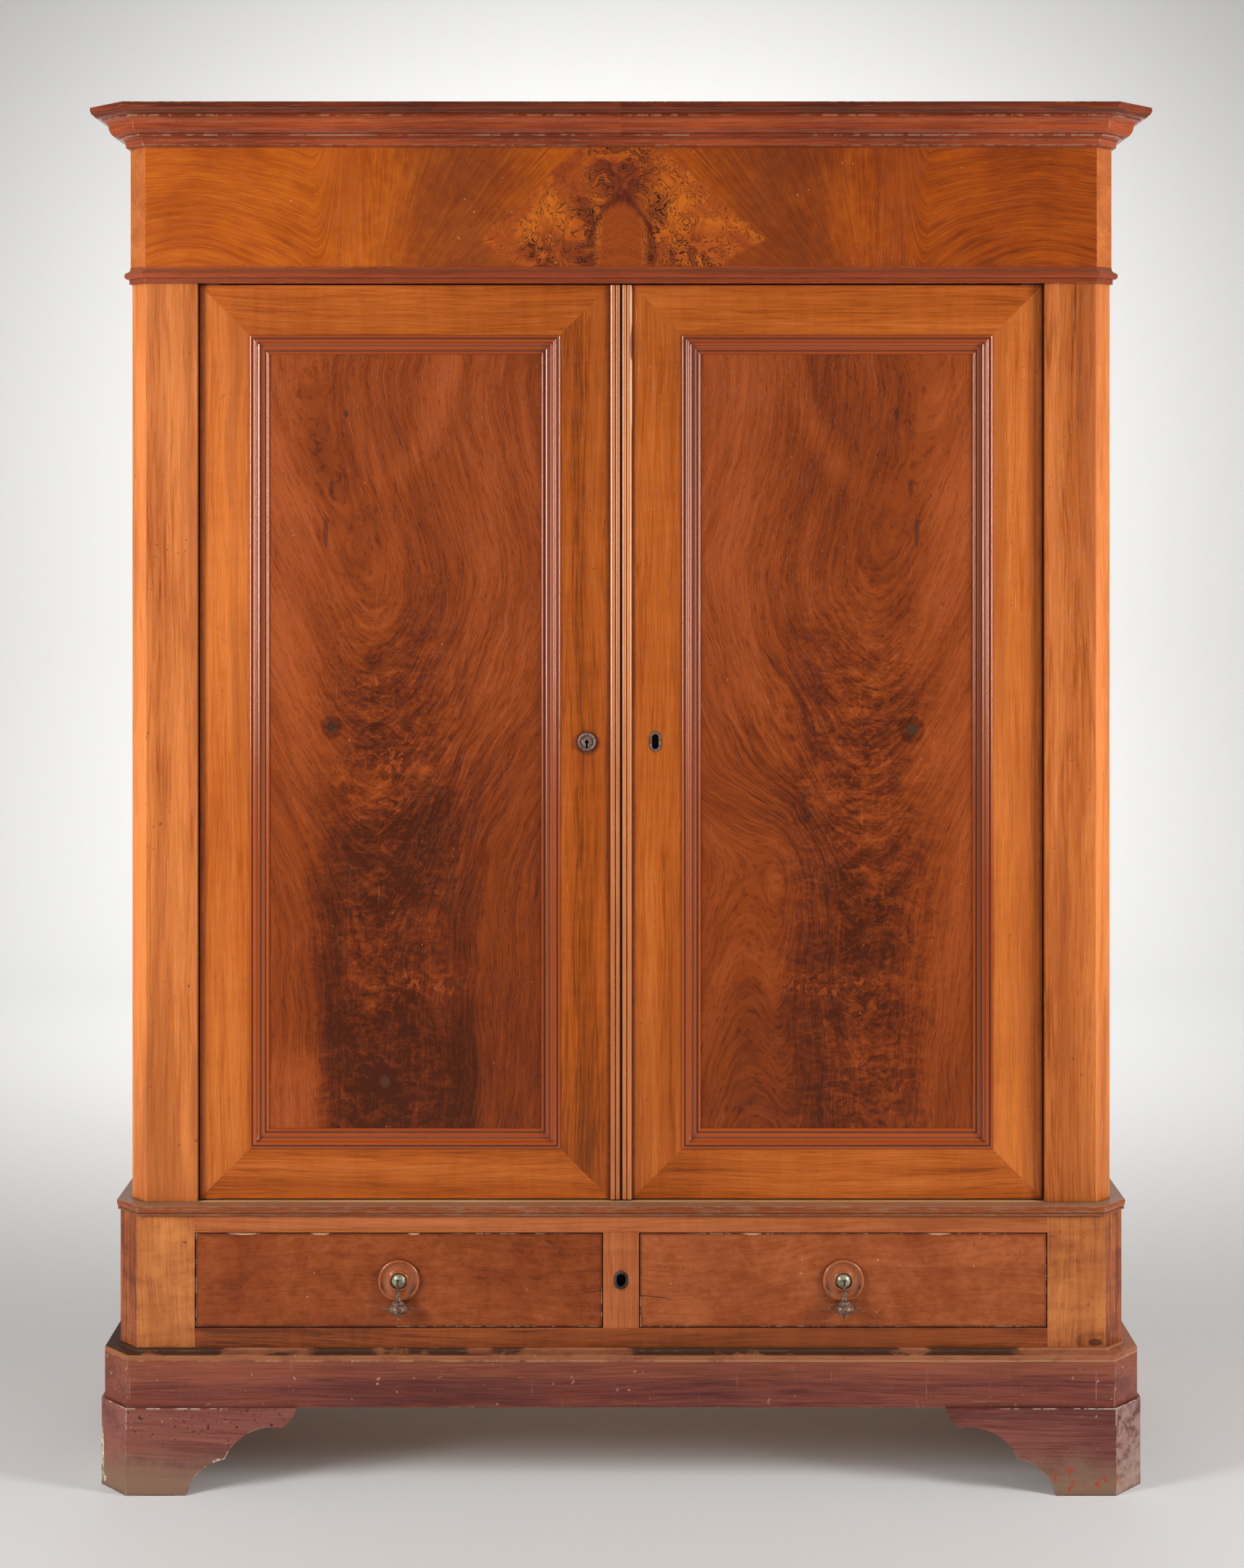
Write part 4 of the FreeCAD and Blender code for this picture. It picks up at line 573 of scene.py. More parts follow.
def frieze():
    """The book-matched frieze: a golden burr between fans and arches."""
    wood = Wood("frieze_walnut", GOLD, 71.0)
    away = wood.x.size()
    sway = wood.noise(wood.place, 4.0, 4.0) - 0.5
    fan = (away - FAN_APEX[0] + sway * 0.03) / (wood.z - FAN_APEX[1]) * 0.16
    across = (away - ARCH_MIDDLE[0]) * 0.75
    up = wood.z - ARCH_MIDDLE[1]
    arch = (across * across + up * up).root() + sway * 0.04
    lines = fan.toward(arch, away.step(0.37, 0.45)) + wood.seed
    wood.draw(wood.vector(lines, away * 0.03, wood.z * 0.03), 0.42, 0.7, 60.0)
    fine = wood.noise(wood.vector(lines, away * 0.1, wood.z * 0.1), 230.0, 3.0, 0.65) - 0.5
    clouds = wood.noise(wood.place, 9.0, 3.0, 0.6) - 0.5
    grains = wood.noise(wood.place, 70.0, 3.0, 0.65) - 0.5
    wood.shift(fine * 0.4 + clouds * 0.6 + grains * away.step(0.45, 0.30) * 0.5)
    wood.shift(wood.x * -0.25 - 0.06)
    gloom = away.near(GLOOM_AWAY, 0.17) * (wood.noise(wood.place, 22.0, 4.0, 0.65) + 0.25)
    wood.stain(gloom * 0.78, rgb(108, 48, 8))
    ragged = (wood.noise(wood.place, 34.0, 4.0, 0.6) - 0.5) * 0.05
    golden_burr(wood, away, ragged)
    plain_tongue(wood, away, ragged)
    return wood.specks(0.6, rgb(206, 160, 112), 130.0, 0.74).done()


def golden_burr(wood, away, ragged):
    """A kite of burr, golden, with dark veins that are densest about its heart and eyes."""
    height, half, slope = BURR_LOW
    low_edge = away + ragged + (wood.z * -1 + height) * slope - half
    height, half, slope = BURR_HIGH
    high_edge = away + ragged + (wood.z - height) * slope - half
    inside = low_edge.step(BURR_RIM, -BURR_RIM) * high_edge.step(BURR_RIM, -BURR_RIM)
    heart = away.step(0.07, 0.02) * wood.z.step(1.83, 1.89)
    neck = away.near(NECK_AWAY, 0.030) * wood.z.step(1.89, 1.86)
    eyes = (away - EYE_AWAY).size().step(0.055, 0.015) * wood.z.step(1.83, 1.79)
    dense = heart.most(neck).most(eyes)
    flow = wood.noise(wood.place, 30.0, 3.0, 0.55, 1.3)
    coarse = wood.noise(wood.place, 13.0, 4.0, 0.60, 0.9)
    golden = wood.tones(coarse, (0.36, rgb(146, 60, 2)), (0.5, rgb(176, 82, 6)),
                        (0.63, rgb(202, 104, 20)))
    wood.stain(inside * 0.92, golden)
    veins = flow.near(0.42, 0.024).most(flow.near(0.50, 0.022)).most(flow.near(0.575, 0.024))
    wood.stain(inside * dense * flow.step(0.40, 0.57) * 0.7, rgb(90, 38, 10))
    strength = dense * 0.45 + coarse.step(0.42, 0.56) * 0.45 + 0.30
    wood.stain(inside * veins * strength, rgb(50, 18, 4))


def plain_tongue(wood, away, ragged):
    """The plain tongue at the bottom of the burr, with a dark halo."""
    head = away * away * TONGUE_ROUND + wood.z + ragged * 0.3
    inside = (away + ragged * 0.15).step(TONGUE_HALF + 0.005, TONGUE_HALF - 0.005)
    inside = inside * head.step(TONGUE_TOP, TONGUE_TOP - 0.014)
    wood.stain(inside * 0.9, wood.tones(wood.fibres, (0.3, rgb(128, 52, 4)), (0.7, rgb(162, 76, 14))))
    halo = head.near(TONGUE_TOP, 0.014) * away.step(0.06, 0.04)
    wood.stain(halo * 0.65, rgb(66, 28, 10))
    flank = away.near(TONGUE_HALF + 0.012, 0.012) * wood.z.step(1.86, 1.84)
    wood.stain(flank * 0.5, rgb(76, 32, 12))


# The doors

ROSE_SHADOW_AND_DIRT = (0.001, -0.002, 0.0175, 0.0185)  # place of the painted shadow and dirt from the rose, half width and height
KEYHOLE_SOIL = (0.011, 0.016)  # half width and half height


def stile(word, seed):
    """The upright members of a door, lighter toward its outer edge."""
    wood = Wood("stile_%s_walnut" % word, AMBER, seed)
    wood.grow(upright, 1.25, 0.75, 0.6, curl=0.14, width=26.0, blush=0.5)
    wood.shift((wood.x * SIDES[word]).step(0.20, 0.50) * 0.34 - 0.12)
    # Its rims darkened: painted shade, and dirt.
    wood.rim("door_%s_stiles" % word, 0.007, 0.6)
    return wood.scratches(0.35, rgb(222, 160, 104), rising=True).specks(0.4, GRIME, 140.0, 0.74)


def stile_left():
    """The left one is darker, with a painted shadow and dirt about its turned rose."""
    x, z = front_middle(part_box("door_left_escutcheon"))
    wood = stile("left", 23.0).shift(-0.10)
    aside, above, wide, high = ROSE_SHADOW_AND_DIRT
    # A painted shadow, with dirt, about the rose.
    return wood.stain(wood.spot(x + aside, z + above, wide, high) * 0.7, rgb(72, 34, 18)).done()


def stile_right():
    """The right one is lighter near the meeting strip, and soiled about its keyhole."""
    x, z = front_middle(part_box("door_right_escutcheon"))
    wood = stile("right", 27.0)
    wood.shift(wood.x.step(0.30, 0.10) * 0.12)
    return wood.stain(wood.spot(x, z, *KEYHOLE_SOIL, 0.3) * 0.55, rgb(88, 40, 18)).done()


def door_rail(word, seed, tone):
    wood = Wood("rail_%s_walnut" % word, AMBER, seed)
    return wood.grow(crosswise, 1.1, 0.7, 0.6, curl=0.2).shift(tone).done()


# The figure of the door panels, in distances from the wardrobe's middle
FEATHER_AWAY = 0.365
FEATHER_LEAN = 0.09  # how far it moves outward near the top
VALLEY_ROUND = 0.07  # how widely its lines bend in the middle
HILL_AWAY = 0.19  # where the lines arch, low on the right panel
HILL_ROUND = 0.05
ARC_MIDDLE = (0.44, 1.66)
ARC_RADIUS = 0.185
CURLY_AWAY = 0.345


def feather(word, seed):
    """A door panel with a feather about its middle. The two are mirror images, but for what
    is added to each of them."""
    wood = Wood("panel_%s_walnut" % word, FLAME, seed)
    sway = wood.noise(wood.place, 3.2, 3.0) - 0.5
    ripple = wood.noise(wood.place, 16.0, 4.0, 0.6) - 0.5
    away = wood.x * SIDES[word]
    out = away + sway * 0.07
    up = wood.z + sway * 0.12
    beside = out - FEATHER_AWAY - up.step(1.25, 1.62) * FEATHER_LEAN
    valley = (beside * beside + VALLEY_ROUND ** 2).root()
    lines = valley - up * 0.05 - up.step(0.80, 1.36) * 0.16 + ripple * 0.009
    if word == "right":
        beside = out - HILL_AWAY
        hill = (beside * beside + HILL_ROUND ** 2).root() * 0.8 + up * 0.20
        lines = lines.toward(hill, up.step(1.06, 0.86) * out.step(0.32, 0.22))
    seeded = lines + wood.seed
    wood.draw(wood.vector(seeded, away * STRETCH, wood.z * STRETCH), 0.50, 0.50, 42.0)
    broken = wood.vector(seeded, away * 0.12, wood.z * 0.12)
    curls = wood.noise(broken, 140.0, 3.0, 0.6) - 0.5
    wood.shift(curls * (up.near(1.08, 0.32) * out.near(0.24, 0.18) * 0.7 + 0.34))
    wood.shift(wood.noise(broken, 520.0, 2.0, 0.6).step(0.56, 0.66) * -0.16)
    slow = wood.vector(lines * 14.0 + wood.seed, away * 2.5, wood.z * 2.5)
    wood.shift((wood.noise(slow, 1.0, 3.0, 0.55) - 0.5) * 0.55)

    # Straight light wood at both sides, and an arc that turns at the top
    inner = out.step(0.27, 0.17)
    outer = out.step(0.41, 0.49)
    wood.shift(inner * (up.step(0.75, 1.35) * 0.12 + 0.04) + outer * 0.16)
    arc_across = out - ARC_MIDDLE[0]
    arc_up = (wood.z - ARC_MIDDLE[1]) * 0.75
    arc = (arc_across * arc_across + arc_up * arc_up).root()
    wood.shift(arc.near(ARC_RADIUS, 0.030) * up.step(1.38, 1.48) * 0.16)
    wood.shift(up.step(1.45, 0.85) * -0.13 - 0.03)

    # Curly wood down the middle, and short level ripples in it
    middle = out.near(CURLY_AWAY, 0.17) * up.step(1.40, 1.10)
    curly = wood.noise(wood.vector(away, wood.y, wood.z * 1.8), 30.0, 5.0, 0.70, 1.8) - 0.5
    bent = wood.vector(away * 18.0, wood.y, wood.z * 95.0 + ripple * 14.0 + sway * 6.0)
    ripples = wood.noise(bent, 1.0, 3.0, 0.6, 0.5) - 0.5
    wood.shift(middle * (curly * 1.3 + ripples * 0.9))
    cloud = wood.noise(wood.place, 6.0, 5.0, 0.65) - 0.5
    # The rims of the panel darkened: painted shade beside its moulding, and dirt.
    wood.rim("door_%s_panel" % word, 0.022, 0.55)
    return wood, out, up, cloud


# Marks on both panels, mirrored: distance from the middle, height and half height of the dark
# ones, and distance, height and half width of the flames
DARK_MARKS = ((0.423, 1.448, 0.014), (0.402, 1.556, 0.006), (0.432, 1.382, 0.024))
DARK_MARK_HALF = 0.004  # half their width
FLAMES = ((0.372, 1.160, 0.022), (0.300, 0.722, 0.085), (0.350, 1.050, 0.05))
FLAME_HALF = 0.018  # half their height

# Knots in one panel: x, height, half width and half height
LEFT_KNOT = (-0.424, 1.098, 0.006, 0.007)
LEFT_LOW_KNOT = (-0.345, 0.58, 0.008, 0.009)
RIGHT_KNOT = (0.425, 1.094, 0.0075, 0.008)


def marked(wood, side):
    """Dark marks and small flames on both panels, scratches and specks."""
    for away, z, high in DARK_MARKS:
        wood.stain(wood.spot(side * away, z, DARK_MARK_HALF, high, 0.9) * 0.6, rgb(66, 30, 20))
    flame = wood.noise(wood.place, 62.0, 4.0, 0.7, 1.2).step(0.52, 0.62)
    for away, z, wide in FLAMES:
        place = wood.spot(side * away, z, wide, FLAME_HALF, 1.0)
        wood.stain(place * flame * 0.5, rgb(176, 82, 34))
    wood.scratches(0.25, rgb(176, 120, 88), rising=True).specks(0.5, rgb(190, 140, 108), 170.0, 0.745)
    return wood.specks(0.5, rgb(60, 30, 20), 120.0, 0.72).done()


def panel_left():
    """Dark clouds low in its middle, and two knots."""
    wood, out, up, cloud = feather("left", 61.0)
    gloom = out.step(0.15, 0.27) * out.step(0.51, 0.42) * up.step(1.16, 0.74)
    wood.shift((gloom * 1.2 + cloud * 2.6 - 0.18).clamp() * gloom.step(0.0, 0.6) * -0.24)
    wood.shift(out.step(0.41, 0.46) * wood.z.step(0.66, 0.58) * 0.22)
    wood.shift(out.step(0.27, 0.17) * -0.06)
    wood.shift(out.near(0.33, 0.17) * up.step(1.35, 1.05) * (cloud * 1.5 + 0.5).clamp() * -0.16)
    wood.shift(out.near(0.36, 0.08) * up.near(1.08, 0.08) * (cloud * 3.0 + 0.4).clamp() * -0.5)
    wood.knot(*LEFT_KNOT, rgb(48, 34, 22)).knot(*LEFT_LOW_KNOT, rgb(84, 50, 38))
    return marked(wood, SIDES["left"])


def panel_right():
    """Softer and more even, with one knot."""
    wood, out, up, cloud = feather("right", 67.0)
    gloom = out.step(0.20, 0.29) * out.step(0.46, 0.38) * up.step(1.50, 1.15)
    wood.shift((gloom * 1.2 + cloud * 2.2 - 0.2).clamp() * gloom.step(0.0, 0.5) * -0.13)
    wood.shift(out.near(0.30, 0.085) * up.step(0.94, 0.80) * -0.12)
    wood.shift(out.near(0.32, 0.14) * (up.step(1.30, 1.40) * -0.14 + up.step(1.10, 0.95) * 0.10))
    wood.shift(0.03).knot(*RIGHT_KNOT, rgb(62, 50, 36))
    return marked(wood, SIDES["right"])


MOULDING_WIDTH = 0.028
MOULDING_GROOVES = (0.155, 0.53, 0.79)  # shares of its width, from its outer edge


def panel_moulding(word, seed):
    node = "door_%s_moulding" % word
    wood = Wood("panel_moulding_" + word, POLISHED, seed, polish=0.20, coat=0.2, depth=0.00001,
                gloss=1.0, corner_dirt_and_shade=0.6)
    wood.grow(looped(node), 0.40, 0.25, 0.5, sway=0.0006, blush=0.2).shift(0.10)
    beside, above = wood.beyond(node)
    # Dark grooves: old polish, and painted shade.
    wood.grooves(beside.most(above) * -1, MOULDING_WIDTH, MOULDING_GROOVES, 0.8, 0.06)
    return wood.chips(0.2, rgb(210, 150, 108), 0.0010).done()


STRIP_GROOVES = (0.06, 0.485, 0.98)  # shares of its width, from the gap between the doors
STRIP_GAP_SHADE = (0.0013, 0.0003)  # from the gap, where the painted shade of its edge fades
STRIP_RAW = ((1.711, 0.028), (1.59, 0.055))  # height and half length of its broken places
STRIP_RAW_HALF = 0.0032  # half their width
STRIP_SLIVER = (1.655, 0.0040, 0.022)  # height, half width and half length


def meeting_strips():
    """The reeded strips, with old polish and painted shade in their grooves, painted shade at the gap,
    and broken at the right edge.
    """
    low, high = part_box("door_right_astragal")
    wood = Wood("strip_walnut", HONEY, 49.0, polish=0.22, depth=0.00001, gloss=1.0, corner_dirt_and_shade=0.5)
    wood.grow(upright, 0.9, 0.5, 0.6).shift(wood.x.step(0.0, 0.004) * 0.20 + 0.10)
    away = wood.x.size()
    # Dark grooves: old polish, and painted shade.
    wood.grooves(away - low.x, high.x - low.x, STRIP_GROOVES, 0.85)
    # Dark at the gap between the doors: painted shade.
    wood.stain(away.step(low.x + STRIP_GAP_SHADE[0], low.x + STRIP_GAP_SHADE[1]) * 0.9, rgb(78, 28, 8), 0.9)
    wood.chips(0.7, RAW, 0.0012)
    for z, half in STRIP_RAW:
        wood.stain(wood.spot(high.x, z, STRIP_RAW_HALF, half, 0.8) * 0.8, RAW)
    return wood.stain(wood.spot(high.x, *STRIP_SLIVER, 0.4) * 0.85, rgb(112, 52, 20)).done()


# The base

drawer_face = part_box("drawer_left_front")  # the right drawer is as high


def waist_moulding():
    wood = Wood("waist_walnut", MOTTLE, 81.0, polish=0.34, coat=0.2)
    wood.grow(around, 0.9, 0.5, 0.6).shift(-0.14)
    crust = wood.vector(wood.x * 0.4, wood.y, wood.z * 2.5)
    wood.stain(wood.noise(crust, 90.0, 4.0, 0.7).step(0.45, 0.65) * 0.30, DUST)
    return wood.chips(0.8, rgb(206, 160, 120)).dust(0.6).scratches(0.5, rgb(196, 150, 116)).done()


POST_KNOT = (0.686, 0.212, 0.011, 0.006)


def base_post():
    """Mottled wood, darker, redder and striped on the slanted faces."""
    wood = Wood("post_walnut", POST, 85.0)
    wood.grow(upright, 0.8, 0.7, 0.7, sway=0.03, curl=0.6, blush=0.4)
    mottle = wood.noise(wood.place, 24.0, 4.0, 0.65, 0.8) - 0.5
    stripes = wood.noise(wood.vector(wood.x, wood.y, wood.z * 0.04), 130.0, 4.0, 0.7) - 0.5
    slant = wood.slanted()
    wood.shift(mottle * 0.9 + slant * (stripes * 2.2 - 0.30) - 0.02)
    wood.stain(slant * 0.35, rgb(120, 44, 28))
    wood.knot(*POST_KNOT, rgb(70, 34, 22)).specks(0.6, GRIME, 130.0, 0.72)
    return wood.chips(0.7, rgb(226, 176, 130)).done()


def base_sides():
    return Wood("base_side_walnut", RAIL, 103.0).grow(inward, 0.9, 0.5, 0.6).done()


def drawer_rails():
    """The rails over and under the drawers. The upper one is lighter."""
    half_way = front_middle(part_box("drawer_rails"))[1]
    wood = Wood("drawer_rail_walnut", RAIL, 41.0)
    wood.grow(crosswise, 1.2, 0.75, 0.6, curl=0.25, blush=0.5)
    wood.shift(wood.z.step(half_way - 0.02, half_way + 0.02) * 0.42 - 0.28)
    return wood.scratches(0.5, rgb(206, 150, 104)).done()


MUNTIN_SOIL = (0.011, 0.015)  # half width and half height


def muntin():
    """The upright between the drawers, soiled about its keyhole."""
    x = front_middle(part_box("drawer_muntin"))[0]
    z = front_middle(drawer_face)[1]
    wood = Wood("muntin_walnut", RAIL, 45.0).grow(upright, 1.2, 0.75, 0.6, curl=0.35, blush=0.5)
    return wood.stain(wood.spot(x, z, *MUNTIN_SOIL, 0.4) * 0.6, rgb(74, 36, 20)).done()


# Wear of the drawer fronts: where a crack starts and ends, its height and slope, and the
# middle and half length of chips along the top edge
CRACKS = {"left": (-0.066, -0.045, 0.281, 0.14), "right": (0.090, 0.055, 0.272, -0.12)}
CRACK_HALF = 0.0011
TOP_CHIPS = {
    "left": ((-0.545, 0.020), (-0.435, 0.013), (-0.30, 0.008)),
    "right": ((0.19, 0.012), (0.46, 0.016)),
}
TOP_CHIP_HALF = 0.0022


def drawer_front(word, seed, tone):
    """Mottled wood with pale chips along its edges, and a level crack near the middle."""
    wood = Wood("drawer_%s_walnut" % word, MOTTLE, seed).grow(crosswise, 0.35, 0.45, 0.4, sway=0.05)
    blots = wood.noise(wood.place, 17.0, 4.0, 0.62, 0.8) - 0.5
    flecks = wood.noise(wood.vector(wood.x, wood.y, wood.z * 1.6), 60.0, 4.0, 0.65, 0.6) - 0.5
    wood.shift(blots * 0.8 + flecks * 0.7 + tone)
    wood.stain(wood.noise(wood.place, 8.0, 3.0).step(0.48, 0.66) * 0.25, rgb(126, 52, 30))
    wood.specks(0.6, rgb(206, 156, 112), 120.0, 0.735).specks(0.6, GRIME, 150.0, 0.73)
    # Its rims darkened: painted shade, and dirt; then pale chips along its edges.
    wood.rim("drawer_%s_front" % word, 0.005, 0.6).chips(0.8, rgb(226, 190, 150), 0.0026, 0.49)

    start, end, z, slope = CRACKS[word]
    drift = (wood.noise(wood.place, 70.0, 2.0) - 0.5) * 0.004
    line = (wood.z - z - (wood.x - start) * slope + drift).near(0.0, CRACK_HALF)
    wood.stain(line * wood.x.step(start, end) * 0.9, rgb(40, 18, 12))
    for x, half in TOP_CHIPS[word]:
        chip = wood.spot(x, drawer_face[1].z, half, TOP_CHIP_HALF, 1.2)
        wood.stain(chip * 0.8, rgb(226, 178, 136))
    return wood.done()


BEAD = 0.0125  # from the top of the plinth to the foot of its bead
LEDGE = (0.0045, 0.0025)  # between these depths below the top, the black of its ledge begins


def plinth():
    """Plum and lighter at the top, with a worn bead, and black where old polish has crept."""
    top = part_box("plinth")[1].z
    half_way = front_middle(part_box("plinth"))[1]
    wood = Wood("plinth_walnut", PLUM, 97.0, polish=0.36, coat=0.1).grow(crosswise, 1.5, 1.0, 0.8)
    wood.shift(wood.x.size().step(0.15, 0.5) * 0.14 - 0.06)
    level = wood.noise(wood.vector(wood.x * 2.0, wood.y, wood.z * 16.0), 3.0, 4.0, 0.6)
    wood.stain(level.step(0.5, 0.7) * 0.45, rgb(150, 74, 40))
    wood.stain(wood.z.step(half_way - 0.01, half_way + 0.02) * 0.30, rgb(146, 80, 52))
    wood.stain(wood.z.step(half_way + 0.01, half_way - 0.02) * 0.30, rgb(92, 44, 48))
    wood.scratches(0.6, rgb(182, 132, 108), rising=True).scratches(0.5, rgb(176, 124, 100))
    wood.specks(0.7, rgb(186, 144, 118), 110.0, 0.72)

    worn = wood.noise(wood.vector(wood.x, wood.y, wood.z * 3.0), 24.0, 5.0, 0.75)
    bead = wood.z.step(top - BEAD - 0.0005, top - BEAD + 0.0015)
    wood.stain(bead * (worn.step(0.30, 0.56) * 0.35 + 0.15), rgb(176, 116, 76))
    run = wood.noise(wood.vector(wood.x, wood.y, wood.z * 0.2), 5.0, 3.0, 0.6) - wood.x * 0.10
    ledge = wood.z.step(top - LEDGE[0], top - LEDGE[1]).most(wood.facing[2].step(0.5, 0.9))
    wood.stain(ledge * (run + (worn - 0.5) * 0.30).step(0.44, 0.50) * 0.85, rgb(36, 30, 24))
    line = wood.z.near(top - BEAD, 0.0016) * wood.facing[1].step(-0.3, -0.6)
    wood.stain(line * (worn + wood.x * 0.15).step(0.36, 0.52) * 0.55, rgb(206, 160, 118))
    return wood.chips(0.7, rgb(206, 160, 124)).done()


# Flaked places of the left foot: distance from its outer edge, height, half width and half
# height
FLAKES = ((0.001, 0.045, 0.0034, 0.040), (0.003, 0.012, 0.006, 0.006), (0.1815, 0.050, 0.012, 0.004))
SMEAR = (0.66, 0.022, 0.055, 0.020)  # red, on the right foot: x, height, half width and height


def foot():
    wood = Wood("foot_walnut", DUSK, 99.0, polish=0.42, coat=0.05).grow(crosswise, 1.3, 1.0, 0.7)
    wood.shift(wood.x.step(0.3, -0.3) * 0.36 - 0.15)
    bored = wood.noise(wood.place, 210.0, 1.0).step(0.68, 0.71) * wood.z.step(0.06, 0.09)
    wood.stain(bored * wood.x.step(0.2, -0.2) * 0.85, GRIME)
    wood.specks(0.6, rgb(190, 150, 126), 140.0, 0.72)
    scuffed = (wood.noise(wood.place, 26.0, 5.0, 0.7) - 0.5) * 0.07
    wood.stain((wood.z + scuffed).step(0.075, 0.015) * 0.75, rgb(138, 112, 92))
    wood.chips(1.0, rgb(226, 212, 186), 0.0034, 0.47)
    flaked = wood.noise(wood.place, 150.0, 4.0, 0.7).step(0.47, 0.55)
    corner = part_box("front_foot_left")[0].x
    for inward_by, z, wide, tall in FLAKES:
        wood.stain(wood.spot(corner + inward_by, z, wide, tall, 1.1) * flaked * 0.85, rgb(226, 214, 192))
    paled = wood.noise(wood.place, 60.0, 4.0, 0.7).step(0.35, 0.60)
    wood.stain(wood.slanted() * wood.x.step(0.5, 0.6) * paled * 0.5, rgb(190, 160, 152))
    red = wood.noise(wood.place, 75.0, 3.0, 0.6).step(0.55, 0.60)
    return wood.stain(wood.spot(*SMEAR, 0.8) * red * 0.8, rgb(176, 62, 44)).done()


# Turned and plain wood

BACK_BOARDS = 6
BACK_JOINT = 0.0006  # between two boards of the back


def rosette():
    wood = Wood("turned_walnut", RAIL, 91.0, polish=0.22, coat=0.3, depth=0.00004, gloss=0.7,
                corner_dirt_and_shade=1.0)
    wood.grow(upright, 0.9, 0.5, 0.6).shift(0.05)
    return wood.chips(0.4, rgb(216, 160, 120), 0.0010).done()


def pine():
    return Wood("pine", PINE, 113.0, polish=0.6, coat=0.0).grow(crosswise, 0.8, 0.4, 0.5).done()


def back_pine():
    """Upright boards, each of its own tone, with dark joints."""
    low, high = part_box("back_boards")
    wood = Wood("pine_upright", PINE, 117.0, polish=0.6, coat=0.0).grow(upright, 0.8, 0.4, 0.5)
    along = (wood.x - low.x) / ((high.x - low.x) / BACK_BOARDS)
    board = along.whole()
    wood.shift((wood.noise(wood.vector(board * 3.7, 0.0, 0.0), 1.0, 0.0) - 0.5) * 0.9)
    joint = (along - board - 0.5).size().step(0.494, 0.499)
    return wood.stain(joint * 0.8, rgb(70, 46, 28)).done()


# Metals

METAL_EDGE = 0.0003
METAL_DEPTH = 0.00015


def metal(name, dark, light, stain, scale, rough):
    """Aged metal with patches of a stain."""
    look = Look(name)
    cast = look.noise(look.place, scale, 4.0, 0.6)
    patch = look.noise(look.place, scale * 1.8, 4.0, 0.7).step(0.50, 0.60)
    colour = look.mix(patch * 0.7, look.tones(cast, (0.35, dark), (0.65, light)), stain)
    # Inner corners darkened: patina, and painted shade.
    colour = look.mix(look.corners(0.004) * 0.9, colour, rgb(34, 24, 18))
    roughness = cast * 0.3 + patch * 0.2 + rough
    return look.finish(colour, roughness, cast + patch * 0.5, METAL_DEPTH, metallic=0.5, edge=METAL_EDGE)


knob_brass = metal("greened_brass", rgb(120, 116, 92), rgb(196, 190, 162), rgb(104, 112, 90), 260.0, 0.22)
pull_brass = metal("reddened_brass", rgb(88, 62, 52), rgb(158, 124, 106), rgb(76, 60, 46), 220.0, 0.26)
rose_steel = metal("worn_steel", rgb(104, 78, 68), rgb(180, 152, 138), rgb(84, 56, 44), 300.0, 0.22)
liner_steel = metal("dark_steel", rgb(96, 78, 70), rgb(168, 146, 134), rgb(70, 52, 44), 240.0, 0.25)
brass = metal("aged_brass", rgb(136, 112, 70), rgb(178, 150, 98), rgb(84, 92, 66), 160.0, 0.25)
iron = metal("dark_iron", rgb(56, 52, 48), rgb(92, 86, 80), rgb(74, 46, 34), 90.0, 0.35)


# Which look each node has: by its name, or else by its slot

strips = meeting_strips()
BY_SLOT = {
    "walnut_case": side_frames(),
    "walnut_doors": stile_left(),
    "walnut_flame": panel_left(),
    "walnut_burl": frieze(),
    "walnut_drawers": drawer_front("left", 83.0, -0.10),
    "walnut_mouldings": cornice(),
    "walnut_plinth": plinth(),
    "walnut_feet": foot(),
    "turned_walnut": rosette(),
    "pine": pine(),
    "brass": brass,
    "iron": iron,
}
BY_NODE = {
    "pilaster_left": pilaster("left", 11.0, 1.35, 0.02),
    "pilaster_right": pilaster("right", 15.0, 1.25, -0.10),
    "side_panels": side_panels(),
    "base_sides": base_sides(),
    "base_posts": base_post(),
    "drawer_rails": drawer_rails(),
    "drawer_muntin": muntin(),
    "waist_moulding": waist_moulding(),
    "frieze_returns": frieze_ends(),
    "frieze_moulding": frieze_moulding(),
    "door_left_rails": door_rail("left", 37.0, -0.12),
    "door_right_rails": door_rail("right", 39.0, -0.15),
    "door_right_stiles": stile_right(),
    "door_right_panel": panel_right(),
    "door_left_moulding": panel_moulding("left", 43.0),
    "door_right_moulding": panel_moulding("right", 47.0),
    "door_left_astragal": strips,
    "door_right_astragal": strips,
    "drawer_right_front": drawer_front("right", 87.0, 0.12),
    "back_boards": back_pine(),
    "drawer_left_knob": knob_brass,
    "drawer_right_knob": knob_brass,
    "pull_left": pull_brass,
    "pull_right": pull_brass,
    "door_left_escutcheon": rose_steel,
    "door_right_escutcheon": liner_steel,
}
for part in frame["record"]["subparts"]:
    data = nodes[part["node"]].data
    data.materials.clear()
    data.materials.append(BY_NODE.get(part["node"], BY_SLOT[part["material_slot"]]))


# Loose tongues in the joints of the back, seen as thin lines between its boards

BACK_TONGUE_THICK = 0.004
BACK_TONGUE_BITE = 0.0001  # how far it is held in each board


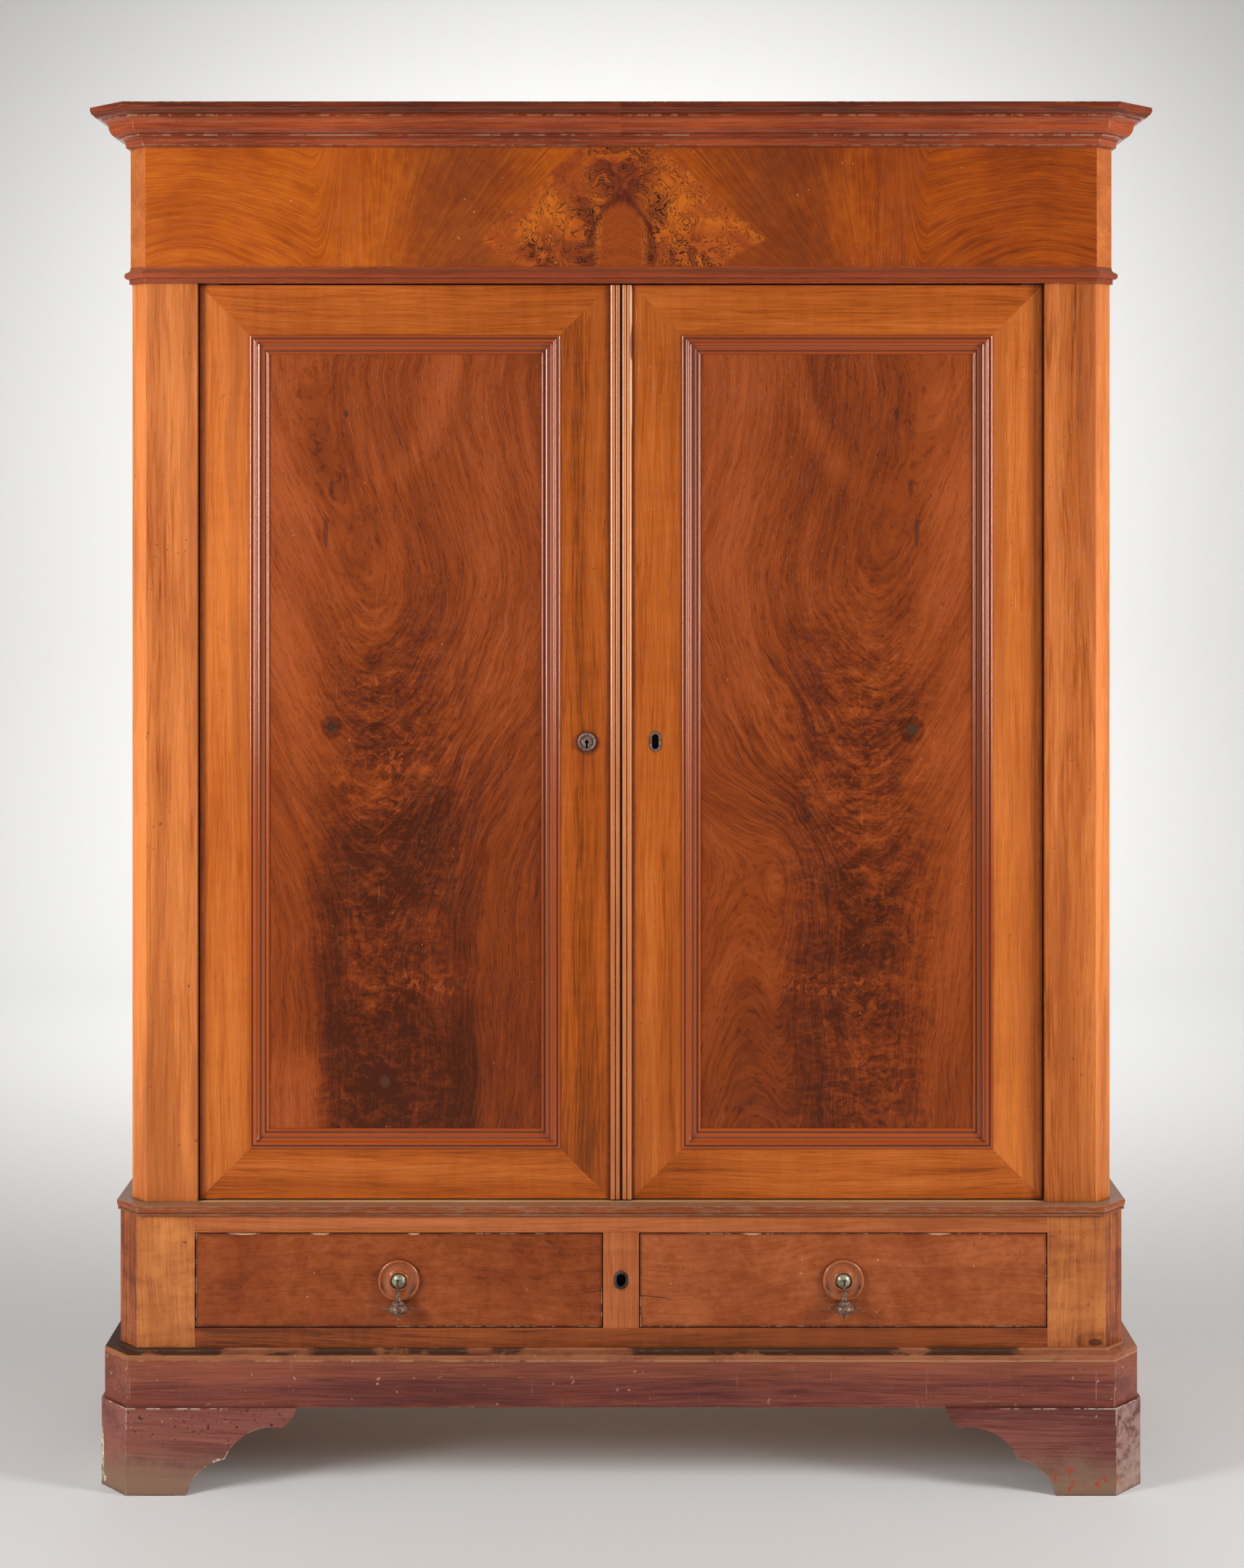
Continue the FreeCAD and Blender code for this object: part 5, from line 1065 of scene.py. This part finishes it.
def back_tongues():
    low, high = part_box("back_boards")
    width = (high.x - low.x + BACK_JOINT) / BACK_BOARDS
    middle = (low.y + high.y) / 2
    size = (BACK_JOINT + 2 * BACK_TONGUE_BITE, BACK_TONGUE_THICK, high.z - low.z)
    shape = bmesh.new()
    for joint in range(1, BACK_BOARDS):
        x = low.x + joint * width - BACK_JOINT / 2
        tongue = bmesh.ops.create_cube(shape)["verts"]
        bmesh.ops.scale(shape, vec=size, verts=tongue)
        bmesh.ops.translate(shape, vec=(x, middle, (low.z + high.z) / 2), verts=tongue)
    mesh = bpy.data.meshes.new("back_tongues")
    shape.to_mesh(mesh)
    shape.free()
    piece = bpy.data.objects.new("back_tongues", mesh)
    scene.collection.objects.link(piece)
    wood = Wood("tongue_pine", PINE, 119.0, polish=0.6, coat=0.0).grow(upright, 0.8, 0.4, 0.5)
    mesh.materials.append(wood.shift(-0.4).done())
    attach(piece, "carcass")


back_tongues()


# Floor, backdrop and light

FLOOR_COLOUR = (0.80, 0.80, 0.79)
FLOOR_ROUGHNESS = 0.7
FLOOR_REACH = 7.0
BACKDROP_DISTANCE = 3.0  # from the back of the wardrobe to the bend
BACKDROP_BEND = 1.0
BEND_STEPS = 12


def plain_floor():
    """A pale floor that curves up into a backdrop well behind the wardrobe."""
    rear = cad_box[1].y + BACKDROP_DISTANCE
    profile = [(-FLOOR_REACH, 0.0)]
    for step in range(BEND_STEPS + 1):
        turn = math.radians(90) * step / BEND_STEPS
        profile.append((rear + BACKDROP_BEND * math.sin(turn), BACKDROP_BEND * (1 - math.cos(turn))))
    profile.append((rear + BACKDROP_BEND, FLOOR_REACH))
    vertices = [(side * FLOOR_REACH, y, z) for y, z in profile for side in (-1, 1)]
    faces = [(2 * i, 2 * i + 1, 2 * i + 3, 2 * i + 2) for i in range(len(profile) - 1)]
    mesh = bpy.data.meshes.new("floor")
    mesh.from_pydata(vertices, [], faces)
    for face in mesh.polygons:
        face.use_smooth = True
    floor = bpy.data.objects.new("floor", mesh)
    scene.collection.objects.link(floor)
    look = Look("floor").finish((*FLOOR_COLOUR, 1.0), FLOOR_ROUGHNESS, edge=0.0)
    floor.data.materials.append(look)


# Each lamp's place, what it points at, its width and height, and its power in watts
LAMPS = {
    "lamp_left": ((-2.15, -1.65, 1.5), (-0.2, 0, 1.1), (0.6, 1.3), 29.5),
    "lamp_right": ((2.4, -1.35, 1.5), (0.2, 0, 1.1), (0.6, 1.3), 32),
    "lamp_rear": ((0, 1.4, 3.0), (0, 4.0, 0.5), (3.0, 1.0), 72),
}
LAMP_SPREAD = 130  # degrees, so that less of the light falls on the floor
SKY_STRENGTH = 0.25


def soft_lamp(name, place, target, size, power):
    lamp = bpy.data.lights.new(name, "AREA")
    lamp.shape = "RECTANGLE"
    lamp.size, lamp.size_y = size
    lamp.energy = power
    lamp.spread = math.radians(LAMP_SPREAD)
    holder = bpy.data.objects.new(name, lamp)
    holder.location = place
    ahead = Vector(target) - Vector(place)
    holder.rotation_euler = ahead.to_track_quat("-Z", "Y").to_euler()
    holder.visible_camera = False
    scene.collection.objects.link(holder)


plain_floor()
for lamp_name, settings in LAMPS.items():
    soft_lamp(lamp_name, *settings)
world = bpy.data.worlds.new("studio")
world.use_nodes = True
sky = world.node_tree.nodes["Background"]
sky.inputs["Color"].default_value = (1, 1, 1, 1)
sky.inputs["Strength"].default_value = SKY_STRENGTH
scene.world = world
scene.view_settings.view_transform = "Standard"
